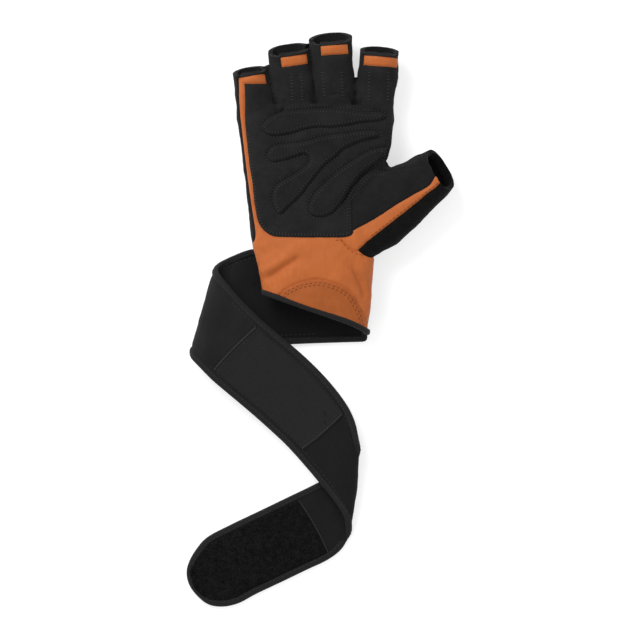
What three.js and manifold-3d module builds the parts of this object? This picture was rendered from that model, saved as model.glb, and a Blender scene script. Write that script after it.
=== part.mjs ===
// A fingerless weightlifting glove for the right hand, with a long wrist strap.
// It lies on its back on a flat surface: the palm faces up, the fingers point along +Y
// and the thumb points towards +X. The strap leaves the wrist at the little finger's side,
// folds over itself twice and ends in a rounded tab.
// Each panel is cut from one hollow hand made of lofted tubes, so that all of them meet.

import * as THREE from 'three';
import { mergeVertices } from 'three/addons/utils/BufferGeometryUtils.js';
import Module from 'manifold-3d';

const wasm = await Module();
wasm.setup();

// Driving dimensions, in millimetres and degrees.

const palmWidth = 105; // across the knuckles
const palmLength = 134; // from the middle of the cuff to the roots of the fingers
const palmThickness = 30; // empty glove, back to palm
const wall = 1.8; // leather and knitted fabric
const clearance = 0.3; // between sewn pieces

const fingerLength = 42.5; // middle finger, from its root to the middle of its opening
const fingerWidth = 27.5;
const fingerThickness = 19;
const fingerTilt = 12; // the fingers curl up towards the palm
const bandWidth = 7; // leather band at the end of a finger

const thumbLength = 68;
const thumbWidth = 28.6;
const thumbThickness = 22;
const thumbAngle = 31.9; // from +X towards the fingers
const thumbRootX = 21; // from the middle of the palm
const thumbRootShare = 0.414; // of the palm's length

const padThickness = 2.4;
const patchThickness = 1.2;

const cuffSlope = -19; // the cuff runs lower at the thumb's side
const cuffLean = 0; // more than 0 would take it lower at the back of the hand
const cuffOffset = -1.4;
const bindingWidth = 3.2;
const bindingProud = 0.8;

const strapWidth = 48;
const strapThickness = 3;
const strapReach = 197; // from the middle of the cuff to the tab's low corner
const strapSpread = 114; // sideways unit of the strap's course
const foldHeight = 17; // rise of the strap at its first fold
const hemWidth = 4; // bound edge of the strap
const hemThickness = 3.6;
const gripThickness = 0.9;
const gripInset = 6;
const hookThickness = 1;

// The back of the wrist lies on the strap.
const wristLift = hemThickness + bindingProud + 1.6 * clearance;

// Sections of the palm from wrist to finger roots. along: share of the palm's length.
// left, right: shares of its width. top, side: heights of the crown and of the widest level,
// shares of its thickness. rise: 1 where the back lies on the strap, 0 where it lies flat.
const palmSections = [
	{ along: -0.25, left: -0.325, right: 0.297, top: 0.97, side: 0.57, rise: 1 },
	{ along: -0.06, left: -0.345, right: 0.31, top: 1.0, side: 0.57, rise: 1 },
	{ along: 0.089, left: -0.362, right: 0.327, top: 1.03, side: 0.57, rise: 1 },
	{ along: 0.2, left: -0.386, right: 0.34, top: 1.04, side: 0.55, rise: 1 },
	{ along: 0.31, left: -0.42, right: 0.355, top: 1.02, side: 0.52, rise: 0.95 },
	{ along: 0.42, left: -0.44, right: 0.375, top: 0.99, side: 0.48, rise: 0 },
	{ along: 0.56, left: -0.462, right: 0.4, top: 0.96, side: 0.46, rise: 0 },
	{ along: 0.7, left: -0.484, right: 0.428, top: 0.94, side: 0.45, rise: 0 },
	{ along: 0.84, left: -0.508, right: 0.455, top: 0.9, side: 0.44, rise: 0 },
	{ along: 0.94, left: -0.53, right: 0.47, top: 0.84, side: 0.43, rise: 0 },
	{ along: 1.0, left: -0.527, right: 0.466, top: 0.74, side: 0.42, rise: 0.55 }
];

// Fingers. x: share of the palm's width. y: share of its length. reach: share of the finger
// length. root, tip: shares of the finger width. lean: degrees sideways. slant: how far the
// opening's palm edge stands back, a share of the finger's thickness. band: both sides of the
// leather band, shares of the finger width.
const fingers = [
	{ name: 'little', x: -0.397, y: 0.966, reach: 0.632, root: 1.0, tip: 0.83, lean: -9.9, slant: 0.3, band: null },
	{ name: 'ring', x: -0.151, y: 0.985, reach: 0.896, root: 0.98, tip: 0.985, lean: -8.3, slant: 0.41, band: [-0.2, 0.47] },
	{ name: 'middle', x: 0.101, y: 1.005, reach: 1.0, root: 0.975, tip: 1.02, lean: -4.5, slant: 0.41, band: [-0.27, 0.42] },
	{ name: 'index', x: 0.345, y: 1.0, reach: 0.826, root: 0.955, tip: 0.985, lean: 4.3, slant: 0.33, band: [-0.39, 0.475] }
];

// Sections of the thumb. along: share of its length. middle, half: shares of its width.
// lift: height of its axis, a share of the palm's thickness. depth: half height, a share of
// the thumb's thickness.
const thumbSections = [
	{ along: -0.19, middle: -0.138, half: 0.64, lift: 0.46, depth: 0.46 },
	{ along: 0.04, middle: -0.138, half: 0.783, lift: 0.47, depth: 0.56 },
	{ along: 0.175, middle: -0.108, half: 0.8, lift: 0.5, depth: 0.6 },
	{ along: 0.37, middle: -0.081, half: 0.772, lift: 0.55, depth: 0.6 },
	{ along: 0.583, middle: -0.065, half: 0.711, lift: 0.61, depth: 0.58 },
	{ along: 0.718, middle: -0.031, half: 0.625, lift: 0.65, depth: 0.55 },
	{ along: 0.874, middle: -0.017, half: 0.558, lift: 0.69, depth: 0.52 },
	{ along: 1.0, middle: -0.012, half: 0.5, lift: 0.72, depth: 0.48 }
];
const thumbSlant = 0.48;

// Outlines of the panels seen from above. Those of the palm are shares of its width and
// length, those of the thumb are shares of its length and width, from its root.

const suedeEdge = [
	[-0.478, 1.1], [-0.474, 1.027], [-0.475, 0.956], [-0.47, 0.867], [-0.455, 0.749],
	[-0.429, 0.601], [-0.41, 0.483], [-0.384, 0.412], [-0.346, 0.376], [-0.302, 0.355],
	[-0.233, 0.349], [-0.006, 0.346], [0.145, 0.348], [0.189, 0.357]
];
const suedeBeyond = [[0.62, 0.7], [0.62, 1.5], [-0.372, 1.5], [-0.33, 1.1]];
// The knitted back comes round the little finger's side of the hand, up to this seam.
const sideSeam = [
	[-0.519, 1.25], [-0.518, 1.17], [-0.517, 1.144], [-0.515, 1.074], [-0.513, 1.0],
	[-0.504, 0.921], [-0.493, 0.842], [-0.48, 0.754], [-0.465, 0.659], [-0.449, 0.566],
	[-0.431, 0.474], [-0.415, 0.404], [-0.405, 0.34], [-0.41, 0.3]
];
const thumbSeam = [
	[0.208, 0.369], [0.204, 0.458], [0.201, 0.547], [0.22, 0.601], [0.258, 0.645],
	[0.321, 0.675], [0.421, 0.677]
];
const gussetSeam = [[0.126, 0.345], [0.151, 0.323], [0.191, 0.292], [0.233, 0.276]];
const towelSeam = [[0.277, 0.26], [0.314, 0.249], [0.358, 0.246]];

const stripInner = [
	[0.93, -0.09], [0.848, -0.189], [0.77, -0.205], [0.638, -0.184], [0.457, -0.176],
	[0.272, -0.185], [0.119, -0.176], [-0.032, -0.156], [-0.095, -0.186], [-0.169, -0.12]
];
const stripOuter = [
	[0.96, -0.27], [0.877, -0.32], [0.783, -0.332], [0.641, -0.383], [0.465, -0.427],
	[0.289, -0.47], [0.091, -0.525], [-0.083, -0.594]
];

const heelArc = [
	[-0.267, 0.044], [-0.216, 0.086], [-0.143, 0.115], [-0.069, 0.129], [0.005, 0.133],
	[0.079, 0.118], [0.143, 0.097], [0.199, 0.061], [0.24, 0.01], [0.272, -0.048], [0.283, -0.09]
];

const padOutlines = {
	knuckle_pad: [
		[-0.327, 0.926], [-0.252, 0.96], [-0.126, 0.972], [0.0, 0.978], [0.157, 0.972],
		[0.283, 0.958], [0.384, 0.958], [0.409, 0.943], [0.371, 0.924], [0.264, 0.914],
		[0.094, 0.892], [-0.044, 0.889], [-0.164, 0.865], [-0.258, 0.85], [-0.333, 0.857],
		[-0.365, 0.892]
	],
	bow_pad: [
		[-0.277, 0.798], [-0.113, 0.813], [0.025, 0.842], [0.145, 0.855], [0.245, 0.867],
		[0.34, 0.867], [0.371, 0.847], [0.289, 0.83], [0.22, 0.813], [0.145, 0.783],
		[0.091, 0.744], [0.025, 0.702], [-0.05, 0.631], [-0.126, 0.554], [-0.201, 0.5],
		[-0.252, 0.463], [-0.283, 0.493], [-0.296, 0.547], [-0.277, 0.594], [-0.233, 0.623],
		[-0.173, 0.65], [-0.113, 0.68], [-0.069, 0.714], [-0.069, 0.744], [-0.101, 0.759],
		[-0.145, 0.749], [-0.233, 0.729], [-0.302, 0.722], [-0.33, 0.744], [-0.314, 0.778]
	],
	heel_pad: [
		[0.409, 0.783], [0.358, 0.783], [0.302, 0.768], [0.189, 0.714], [0.113, 0.672],
		[0.038, 0.618], [-0.038, 0.554], [-0.066, 0.507], [-0.057, 0.463], [-0.006, 0.451],
		[0.053, 0.461], [0.107, 0.495], [0.138, 0.525], [0.176, 0.576], [0.22, 0.628],
		[0.28, 0.675], [0.355, 0.717], [0.403, 0.754]
	]
};

// Course of the strap. x, y: middle of each line across it, shares of the spread and the
// reach. turn: angle of that line. width: its length, a share of the strap's width.
// riseA, riseB: heights of its two ends, shares of the fold's height.
const strapCourse = [
	{ part: 'root', x: 0.281, y: 0.026, turn: 90.0, width: 1.14, riseA: 0, riseB: 0 },
	{ part: 'root', x: -0.023, y: 0.028, turn: 90.0, width: 1.2, riseA: 0, riseB: 0 },
	{ part: 'root', x: -0.202, y: 0.032, turn: 90.0, width: 1.27, riseA: 0, riseB: 0 },
	{ part: 'root', x: -0.393, y: 0.034, turn: 87.7, width: 1.35, riseA: 0, riseB: 0 },
	{ part: 'root', x: -0.558, y: 0.017, turn: 79.5, width: 1.31, riseA: 0, riseB: 0 },
	{ part: 'fold', x: -0.639, y: 0.005, turn: 75.5, width: 1.27, riseA: 0.17, riseB: 0.15 },
	{ part: 'fold', x: -0.671, y: -0.01, turn: 74.1, width: 1.25, riseA: 0.5, riseB: 0.42 },
	{ part: 'fold', x: -0.66, y: -0.029, turn: 73.0, width: 1.24, riseA: 0.84, riseB: 0.7 },
	{ part: 'fold', x: -0.621, y: -0.055, turn: 72.3, width: 1.22, riseA: 1.0, riseB: 0.86 },
	{ part: 'front', x: -0.54, y: -0.106, turn: 70.2, width: 1.177, riseA: 1.0, riseB: 0.86 },
	{ part: 'front', x: -0.436, y: -0.162, turn: 67.8, width: 1.129, riseA: 0.9, riseB: 0.76 },
	{ part: 'front', x: -0.324, y: -0.217, turn: 66.0, width: 1.115, riseA: 0.78, riseB: 0.64 },
	{ part: 'front', x: -0.197, y: -0.281, turn: 63.6, width: 1.107, riseA: 0.66, riseB: 0.52 },
	{ part: 'front', x: -0.084, y: -0.344, turn: 62.1, width: 1.089, riseA: 0.57, riseB: 0.43 },
	{ part: 'front', x: 0.012, y: -0.408, turn: 61.8, width: 1.072, riseA: 0.56, riseB: 0.38 },
	{ part: 'front', x: 0.082, y: -0.462, turn: 65.1, width: 1.062, riseA: 0.62, riseB: 0.37 },
	{ part: 'fold', x: 0.146, y: -0.522, turn: 73.1, width: 1.064, riseA: 0.66, riseB: 0.39 },
	{ part: 'fold', x: 0.188, y: -0.574, turn: 80.2, width: 1.048, riseA: 0.52, riseB: 0.36 },
	{ part: 'fold', x: 0.198, y: -0.612, turn: 84.4, width: 1.051, riseA: 0.3, riseB: 0.22 },
	{ part: 'fold', x: 0.173, y: -0.645, turn: 88.5, width: 1.045, riseA: 0.08, riseB: 0.06 },
	{ part: 'tab', x: 0.116, y: -0.676, turn: 93.0, width: 1.067, riseA: 0, riseB: 0 },
	{ part: 'tab', x: 0.02, y: -0.713, turn: 98.2, width: 1.063, riseA: 0, riseB: 0 },
	{ part: 'tab', x: -0.13, y: -0.755, turn: 104.7, width: 1.031, riseA: 0, riseB: 0 },
	{ part: 'tab', x: -0.295, y: -0.801, turn: 107.2, width: 1.023, riseA: 0, riseB: 0 },
	{ part: 'tab', x: -0.451, y: -0.844, turn: 108.9, width: 1.018, riseA: 0, riseB: 0 },
	{ part: 'tab', x: -0.566, y: -0.88, turn: 117.1, width: 1.004, riseA: 0, riseB: 0 },
	{ part: 'tab', x: -0.639, y: -0.902, turn: 112.9, width: 0.881, riseA: 0, riseB: 0 },
	{ part: 'tab', x: -0.703, y: -0.913, turn: 108.4, width: 0.674, riseA: 0, riseB: 0 },
	{ part: 'tab', x: -0.76, y: -0.906, turn: 102.1, width: 0.309, riseA: 0, riseB: 0 }
];
const gripRows = [10, 15]; // the woven panel lies between these rows
const hookRow = 22; // the hook patch runs from this row to the tab's end

const palmSides = 28;
const fingerSides = 16;
const thumbSides = 20;

// Solids from closed rings of points.

function toSolid(geometry) {
	geometry.deleteAttribute('normal');
	geometry.deleteAttribute('uv');
	const merged = mergeVertices(geometry, 1e-4);
	const vertProperties = new Float32Array(merged.attributes.position.array);
	const triVerts = new Uint32Array(merged.index.array);
	return new wasm.Manifold(new wasm.Mesh({ numProp: 3, vertProperties, triVerts }));
}

function loft(rings) {
	const points = rings.flat();
	const sides = rings[0].length;
	const middles = [rings[0], rings[rings.length - 1]].map((ring) =>
		ring.reduce((sum, point) => sum.add(point), new THREE.Vector3()).divideScalar(sides)
	);
	const first = points.length;
	const last = first + 1;
	const end = (rings.length - 1) * sides;
	const index = [];
	for (let k = 0; k < sides; k++) {
		const next = (k + 1) % sides;
		for (let r = 0; r < rings.length - 1; r++) {
			const a = r * sides + k;
			const b = r * sides + next;
			const c = a + sides;
			const d = b + sides;
			// Each four-sided face is split along its shorter diagonal.
			if (points[b].distanceTo(points[c]) < points[a].distanceTo(points[d])) {
				index.push(a, b, c, b, d, c);
			} else {
				index.push(a, b, d, a, d, c);
			}
		}
		index.push(first, next, k, last, end + k, end + next);
	}
	const geometry = new THREE.BufferGeometry().setFromPoints([...points, ...middles]);
	geometry.setIndex(index);
	if (signedVolume(geometry) < 0) {
		for (let i = 0; i < index.length; i += 3) {
			[index[i + 1], index[i + 2]] = [index[i + 2], index[i + 1]];
		}
		geometry.setIndex(index);
	}
	return toSolid(geometry);
}

function signedVolume(geometry) {
	const position = geometry.attributes.position;
	const corners = [new THREE.Vector3(), new THREE.Vector3(), new THREE.Vector3()];
	let volume = 0;
	for (let i = 0; i < geometry.index.count; i += 3) {
		corners.forEach((corner, j) => corner.fromBufferAttribute(position, geometry.index.getX(i + j)));
		volume += corners[0].dot(corners[1].clone().cross(corners[2])) / 6;
	}
	return volume;
}

// An outline whose sides cross, as at other sizes of the hand, still gives one whole prism.
function prism(outline, bottom = -palmThickness, top = 3 * palmThickness) {
	const section = new wasm.CrossSection([outline.map((point) => point.toArray())], 'NonZero');
	return section.extrude(top - bottom).translate([0, 0, bottom]);
}

function grown(outline, distance) {
	const sign = THREE.ShapeUtils.area(outline) > 0 ? 1 : -1;
	return outline.map((point, i) => {
		const before = outline[(i + outline.length - 1) % outline.length];
		const after = outline[(i + 1) % outline.length];
		const inward = point.clone().sub(before).normalize();
		const outward = after.clone().sub(point).normalize();
		const normal = new THREE.Vector2(inward.y + outward.y, -inward.x - outward.x).normalize();
		const spread = Math.max(0.5, normal.x * outward.y - normal.y * outward.x);
		return point.clone().addScaledVector(normal, (sign * distance) / spread);
	});
}

function power(value, exponent) {
	return Math.sign(value) * Math.pow(Math.abs(value), exponent);
}

// Places on the palm and on the thumb.

function palmPoint([x, y]) {
	return new THREE.Vector2(x * palmWidth, y * palmLength);
}

const thumbRoot = new THREE.Vector2(thumbRootX, thumbRootShare * palmLength);
const thumbHeading = THREE.MathUtils.degToRad(thumbAngle);

function thumbPoint([along, across]) {
	const point = new THREE.Vector2(along * thumbLength, across * thumbWidth);
	return point.rotateAround(new THREE.Vector2(), thumbHeading).add(thumbRoot);
}

// Rings of the hand, grown outwards by an amount, or inwards if it is negative.

function ring(sides, bulge, place) {
	return Array.from({ length: sides }, (_, k) => {
		const angle = (2 * Math.PI * k) / sides;
		return place(power(Math.cos(angle), 2 / bulge), power(Math.sin(angle), 2 / bulge));
	});
}

const restFlat = 1.2; // how far the cloth would sink without the surface below it
const sideBulge = 2.7;

function palmTube(amount) {
	const last = palmSections[palmSections.length - 1];
	return loft(palmSections.map((row) => {
		const middle = ((row.left + row.right) / 2) * palmWidth;
		const half = ((row.right - row.left) / 2) * palmWidth + amount;
		const level = row.side * palmThickness;
		const up = row.top * palmThickness - level + amount;
		const down = level - (row.rise * wristLift - (1 - row.rise) * restFlat) + amount;
		const y = row.along * palmLength + (row === last ? amount : 0);
		return ring(palmSides, sideBulge, (u, v) => {
			const z = Math.max(level + v * (v > 0 ? up : down), -amount);
			return new THREE.Vector3(middle + u * half, y, z);
		});
	}));
}

function fingerFrame(finger) {
	const lean = THREE.MathUtils.degToRad(finger.lean);
	return {
		root: palmPoint([finger.x, finger.y]),
		ahead: new THREE.Vector2(Math.sin(lean), Math.cos(lean)),
		aside: new THREE.Vector2(Math.cos(lean), -Math.sin(lean)),
		reach: finger.reach * fingerLength
	};
}

const rootLevel = palmSections[palmSections.length - 1].side * palmThickness;
const fingerSlope = Math.tan(THREE.MathUtils.degToRad(fingerTilt));
const fingerBulge = 2.5;
const fingerStart = -10; // inside the palm
const fingerSteps = 4;
const overrun = 6; // how far a hollow runs past its opening

function fingerTube(finger, amount) {
	const { root, ahead, aside, reach } = fingerFrame(finger);
	const stops = [fingerStart];
	for (let i = 0; i <= fingerSteps; i++) stops.push((reach * i) / fingerSteps);
	if (amount !== 0) stops.push(reach + overrun);
	return loft(stops.map((stop) => {
		const share = THREE.MathUtils.clamp(stop / reach, 0, 1);
		const half = (THREE.MathUtils.lerp(finger.root, finger.tip, share) * fingerWidth) / 2 + amount;
		const depth = fingerThickness / 2 + amount;
		const level = rootLevel + Math.max(stop, 0) * fingerSlope;
		const slant = finger.slant * Math.pow(share, 2);
		return ring(fingerSides, fingerBulge, (u, v) => {
			const ahead2 = stop - slant * v * depth;
			const place = root.clone().addScaledVector(ahead, ahead2).addScaledVector(aside, u * half);
			return new THREE.Vector3(place.x, place.y, level + v * depth);
		});
	}));
}

function thumbRing(row, along, amount) {
	const half = row.half * thumbWidth + amount;
	const depth = row.depth * thumbThickness + amount;
	const level = row.lift * palmThickness;
	const slant = thumbSlant * Math.pow(THREE.MathUtils.clamp(row.along, 0, 1), 2);
	return ring(thumbSides, fingerBulge, (u, v) => {
		const run = along - (slant * v * depth) / thumbLength;
		const place = thumbPoint([run, row.middle + (u * half) / thumbWidth]);
		return new THREE.Vector3(place.x, place.y, level + v * depth);
	});
}

function thumbTube(amount) {
	const rings = thumbSections.map((row) => thumbRing(row, row.along, amount));
	if (amount !== 0) {
		const last = thumbSections[thumbSections.length - 1];
		rings.push(thumbRing(last, last.along + overrun / thumbLength, amount));
	}
	return loft(rings);
}

function hand(amount) {
	let solid = palmTube(amount).add(thumbTube(amount));
	for (const finger of fingers) solid = solid.add(fingerTube(finger, amount));
	return solid;
}

// The level where the palm's panels are sewn to the back, over any place.

function seamLevel(x, y) {
	const along = y / palmLength;
	const rows = palmSections;
	let level = rows[0].side;
	for (let i = 1; i < rows.length; i++) {
		const share = THREE.MathUtils.clamp(
			(along - rows[i - 1].along) / (rows[i].along - rows[i - 1].along), 0, 1
		);
		if (along > rows[i - 1].along) level = THREE.MathUtils.lerp(rows[i - 1].side, rows[i].side, share);
	}
	const palmLevel = level * palmThickness + Math.max(0, y - palmLength) * fingerSlope;
	const local = new THREE.Vector2(x, y).sub(thumbRoot).rotateAround(new THREE.Vector2(), -thumbHeading);
	const first = thumbSections[2];
	const last = thumbSections[thumbSections.length - 1];
	const out = local.x / thumbLength;
	const climb = THREE.MathUtils.clamp((out - first.along) / (last.along - first.along), 0, 1.2);
	const thumbLevel = THREE.MathUtils.lerp(first.lift, last.lift, climb) * palmThickness;
	const beside = 1 - THREE.MathUtils.smoothstep(Math.abs(local.y) / thumbWidth, 0.9, 1.3);
	const weight = THREE.MathUtils.smoothstep(out, 0.3, 0.6) * beside;
	return THREE.MathUtils.lerp(palmLevel, thumbLevel, weight);
}

const seamStep = 14;

function belowSeam(shift) {
	const columns = Math.ceil((1.6 * palmWidth) / seamStep);
	const low = -0.35 * palmLength;
	const rows = Math.ceil((1.45 * palmLength + fingerLength) / seamStep);
	const left = -0.75 * palmWidth;
	return loft(Array.from({ length: rows + 1 }, (_, r) => {
		const y = low + r * seamStep;
		const line = Array.from({ length: columns + 1 }, (__, c) => {
			const x = left + c * seamStep;
			return new THREE.Vector3(x, y, seamLevel(x, y) + shift);
		});
		const right = left + columns * seamStep;
		return [...line, new THREE.Vector3(right, y, -palmThickness), new THREE.Vector3(left, y, -palmThickness)];
	}));
}

// The cuff is cut by a leaning plane.

function beyondCuff(shift) {
	const size = 4 * palmWidth;
	const geometry = new THREE.BoxGeometry(size, size, size);
	geometry.translate(0, -size / 2 + shift, 0);
	const across = Math.tan(THREE.MathUtils.degToRad(cuffSlope));
	const upwards = Math.tan(THREE.MathUtils.degToRad(cuffLean));
	const middle = cuffOffset - upwards * palmThickness;
	const shear = new THREE.Matrix4().set(1, 0, 0, 0, across, 1, upwards, middle, 0, 0, 1, 0, 0, 0, 0, 1);
	return toSolid(geometry.applyMatrix4(shear));
}

// Outlines of the panels, in millimetres.

function bandOutline(finger) {
	const { root, ahead, aside, reach } = fingerFrame(finger);
	const start = reach - (finger.slant * fingerThickness) / 2 - bandWidth;
	const end = reach + overrun;
	const [low, high] = finger.band;
	const corners = [[low, start], [high, start], [high, end], [low, end]];
	return corners.map(([across, along]) =>
		root.clone().addScaledVector(ahead, along).addScaledVector(aside, across * fingerWidth)
	);
}

const suedeOutline = [...suedeEdge, ...thumbSeam, ...suedeBeyond].map(palmPoint);
const thumbFrontOutline = [
	...stripInner.slice(0, -3).map(thumbPoint).reverse(),
	...[[1.3, -0.08], [1.3, 0.9], [0.55, 0.9]].map(thumbPoint),
	...thumbSeam.slice().reverse().map(palmPoint)
];
const stripOutline = [
	...stripInner.map(thumbPoint),
	...gussetSeam.map(palmPoint),
	...stripOuter.map(thumbPoint).reverse(),
	...[[1.3, -0.24], [1.3, -0.08]].map(thumbPoint)
];
const towelOutline = [
	...stripOuter.map(thumbPoint),
	...towelSeam.map(palmPoint),
	...[[0.2, -1.6], [1.4, -1.2], [1.4, -0.24]].map(thumbPoint)
];
const thumbUnderOutline = [
	palmPoint(towelSeam[2]),
	...[[0.2, -1.6], [1.4, -1.2], [1.4, 1.0], [0.7, 0.9], [0.56, 0.72], [0.33, 0.2]].map(thumbPoint)
];
const sideOutline = [...sideSeam, [-0.75, 0.3], [-0.75, 1.25]].map(palmPoint);
const heelOutline = [...heelArc, [0.34, -0.3], [-0.4, -0.3], [-0.34, 0.02]].map(palmPoint);

// Panels cut from the hollow hand.

const hollow = hand(-wall);
const outer = hand(0);
const shell = outer.subtract(hollow).subtract(beyondCuff(bindingWidth + clearance));

const towelZone = prism(towelOutline).add(prism(thumbUnderOutline).intersect(belowSeam(0)));
const towelKeep = prism(grown(towelOutline, clearance))
	.add(prism(grown(thumbUnderOutline, clearance)).intersect(belowSeam(clearance)));

const solids = {};
solids.thumb_back = shell.intersect(towelZone);
const remaining = shell.subtract(towelKeep);
solids.back_panel = remaining.intersect(belowSeam(-clearance / 2).add(prism(sideOutline)));
let palmSide = remaining
	.subtract(belowSeam(clearance / 2))
	.subtract(prism(grown(sideOutline, clearance)));

function carve(name, zone, keep) {
	solids[name] = palmSide.intersect(zone);
	palmSide = palmSide.subtract(keep);
}

for (const finger of fingers.slice(1)) {
	const outline = bandOutline(finger);
	const tube = fingerTube(finger, clearance);
	const zone = prism(outline).intersect(tube);
	const keep = prism(grown(outline, clearance)).intersect(tube);
	carve(`${finger.name}_band`, zone, keep);
}
carve('palm_panel', prism(suedeOutline), prism(grown(suedeOutline, clearance)));
carve('thumb_strip', prism(stripOutline), prism(grown(stripOutline, clearance)));
carve('thumb_front', prism(thumbFrontOutline), prism(grown(thumbFrontOutline, clearance)));
solids.palm_base = palmSide;

// Pieces laid over the panels.

const overPanels = hand(clearance);
const padLayer = hand(clearance + padThickness).subtract(overPanels);
for (const [name, outline] of Object.entries(padOutlines)) {
	solids[name] = padLayer.intersect(prism(outline.map(palmPoint), rootLevel));
}

solids.heel_patch = hand(clearance + patchThickness)
	.subtract(overPanels)
	.intersect(prism(heelOutline, palmSections[0].side * palmThickness))
	.subtract(beyondCuff(bindingWidth + clearance));

solids.cuff_binding = hand(bindingProud)
	.subtract(hand(-wall - bindingProud))
	.subtract(beyondCuff(0))
	.intersect(beyondCuff(bindingWidth));

// The strap: a band between two edges.

function strapRow(row) {
	const turn = THREE.MathUtils.degToRad(row.turn);
	const half = new THREE.Vector2(Math.cos(turn), Math.sin(turn)).multiplyScalar((row.width * strapWidth) / 2);
	const middle = new THREE.Vector2(row.x * strapSpread, row.y * strapReach);
	const height = (rise) => hemThickness / 2 + rise * foldHeight;
	return {
		a: new THREE.Vector3(middle.x + half.x, middle.y + half.y, height(row.riseA)),
		b: new THREE.Vector3(middle.x - half.x, middle.y - half.y, height(row.riseB))
	};
}

const strapRows = strapCourse.map(strapRow);
const lastRow = strapRows.length - 1;
const edgeCurves = ['a', 'b'].map((side) =>
	new THREE.CatmullRomCurve3(strapRows.map((row) => row[side]), false, 'centripetal')
);

function station(row) {
	const share = row / lastRow;
	const [a, b] = edgeCurves.map((curve) => curve.getPoint(share));
	for (const point of [a, b]) point.z = Math.max(point.z, hemThickness / 2);
	const [aheadA, aheadB] = edgeCurves.map((curve) => curve.getTangent(share));
	const across = b.clone().sub(a).normalize();
	const normal = (ahead) => ahead.clone().cross(across).normalize();
	return { a, b, across, normalA: normal(aheadA), normalB: normal(aheadB) };
}

function stations(from, to) {
	const places = strapCourse.flatMap((row, i) => (row.part === 'fold' ? [i, i + 0.5] : [i]));
	return [from, ...places.filter((place) => place > from && place < to), to].map(station);
}

// A slab over part of the strap. insets: lines along it, measured from both edges.
// offsets: its two faces, measured from the middle of the strap's thickness, and the lines
// between them along its sides.
function strapSlab(from, to, insets, offsets, lowest = 0) {
	const rings = stations(from, to).map(({ a, b, across, normalA, normalB }) => {
		const width = a.distanceTo(b);
		const marks = [...insets, ...insets.map((inset) => width - inset).reverse()];
		const place = (mark, offset) => {
			const normal = normalA.clone().lerp(normalB, mark / width).normalize();
			const point = a.clone().addScaledVector(across, mark).addScaledVector(normal, offset);
			point.z = Math.max(point.z, lowest);
			return point;
		};
		const between = offsets.slice(1, -1);
		return [
			...marks.map((mark) => place(mark, offsets[0])),
			...between.map((offset) => place(marks.at(-1), offset)),
			...marks.map((mark) => place(mark, offsets.at(-1))).reverse(),
			...between.map((offset) => place(marks[0], offset)).reverse()
		];
	});
	return loft(rings);
}

// The hem runs all round the strap, and the other pieces lie inside it.
const rootRow = 0.12;
const tabEnd = lastRow - 0.75;
const rootGap = 0.012;
const tabGap = 0.05;
const bodyInset = hemWidth + clearance;
const half = strapThickness / 2;
const faceStart = half + clearance;
const hemHalf = hemThickness / 2;
const through = hemHalf + clearance;
solids.strap_binding = strapSlab(0, lastRow, [0, hemWidth], [-hemHalf, hemHalf])
	.subtract(strapSlab(rootRow, tabEnd, [hemWidth], [-through, -half, half, through], -through));
solids.wrist_strap = strapSlab(rootRow + rootGap, tabEnd - tabGap, [bodyInset, gripInset], [-half, half]);
solids.grip_panel = strapSlab(...gripRows, [gripInset], [-faceStart - gripThickness, -faceStart]);
solids.hook_patch = strapSlab(hookRow, tabEnd - tabGap, [bodyInset], [faceStart, faceStart + hookThickness]);

// Colours.

const suede = { color: 0x17171a, roughness: 0.9, metalness: 0 };
const knit = { color: 0x121214, roughness: 0.95, metalness: 0 };
const leather = { color: 0xc46e3c, roughness: 0.6, metalness: 0 };
const webbing = { color: 0x101012, roughness: 0.8, metalness: 0 };
const hooks = { color: 0x26262a, roughness: 1, metalness: 0 };

const finishes = {
	back_panel: knit,
	palm_panel: suede,
	palm_base: leather,
	heel_patch: leather,
	ring_band: leather,
	middle_band: leather,
	index_band: leather,
	knuckle_pad: suede,
	bow_pad: suede,
	heel_pad: suede,
	thumb_front: suede,
	thumb_strip: leather,
	thumb_back: knit,
	cuff_binding: webbing,
	wrist_strap: knit,
	strap_binding: webbing,
	grip_panel: webbing,
	hook_patch: hooks
};

function toGeometry(solid) {
	const mesh = solid.getMesh();
	const geometry = new THREE.BufferGeometry();
	geometry.setAttribute('position', new THREE.BufferAttribute(mesh.vertProperties, 3));
	geometry.setIndex(new THREE.BufferAttribute(mesh.triVerts, 1));
	geometry.computeVertexNormals();
	return geometry;
}

const glove = new THREE.Group();
for (const [name, finish] of Object.entries(finishes)) {
	const mesh = new THREE.Mesh(toGeometry(solids[name]), new THREE.MeshStandardMaterial(finish));
	mesh.name = name;
	glove.add(mesh);
}

// The origin is under the middle of the glove, on the surface that it lies on.
const box = new THREE.Box3().setFromObject(glove);
const middle = box.getCenter(new THREE.Vector3());
for (const mesh of glove.children) mesh.position.set(-middle.x, -middle.y, -box.min.z);

export default glove;
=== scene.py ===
"""The looks of a fingerless weightlifting glove with a long wrist strap, built around its CAD frame."""

import math

import bmesh
import bpy
import numpy as np
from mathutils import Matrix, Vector
from mathutils.bvhtree import BVHTree
from mathutils.kdtree import KDTree


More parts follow.
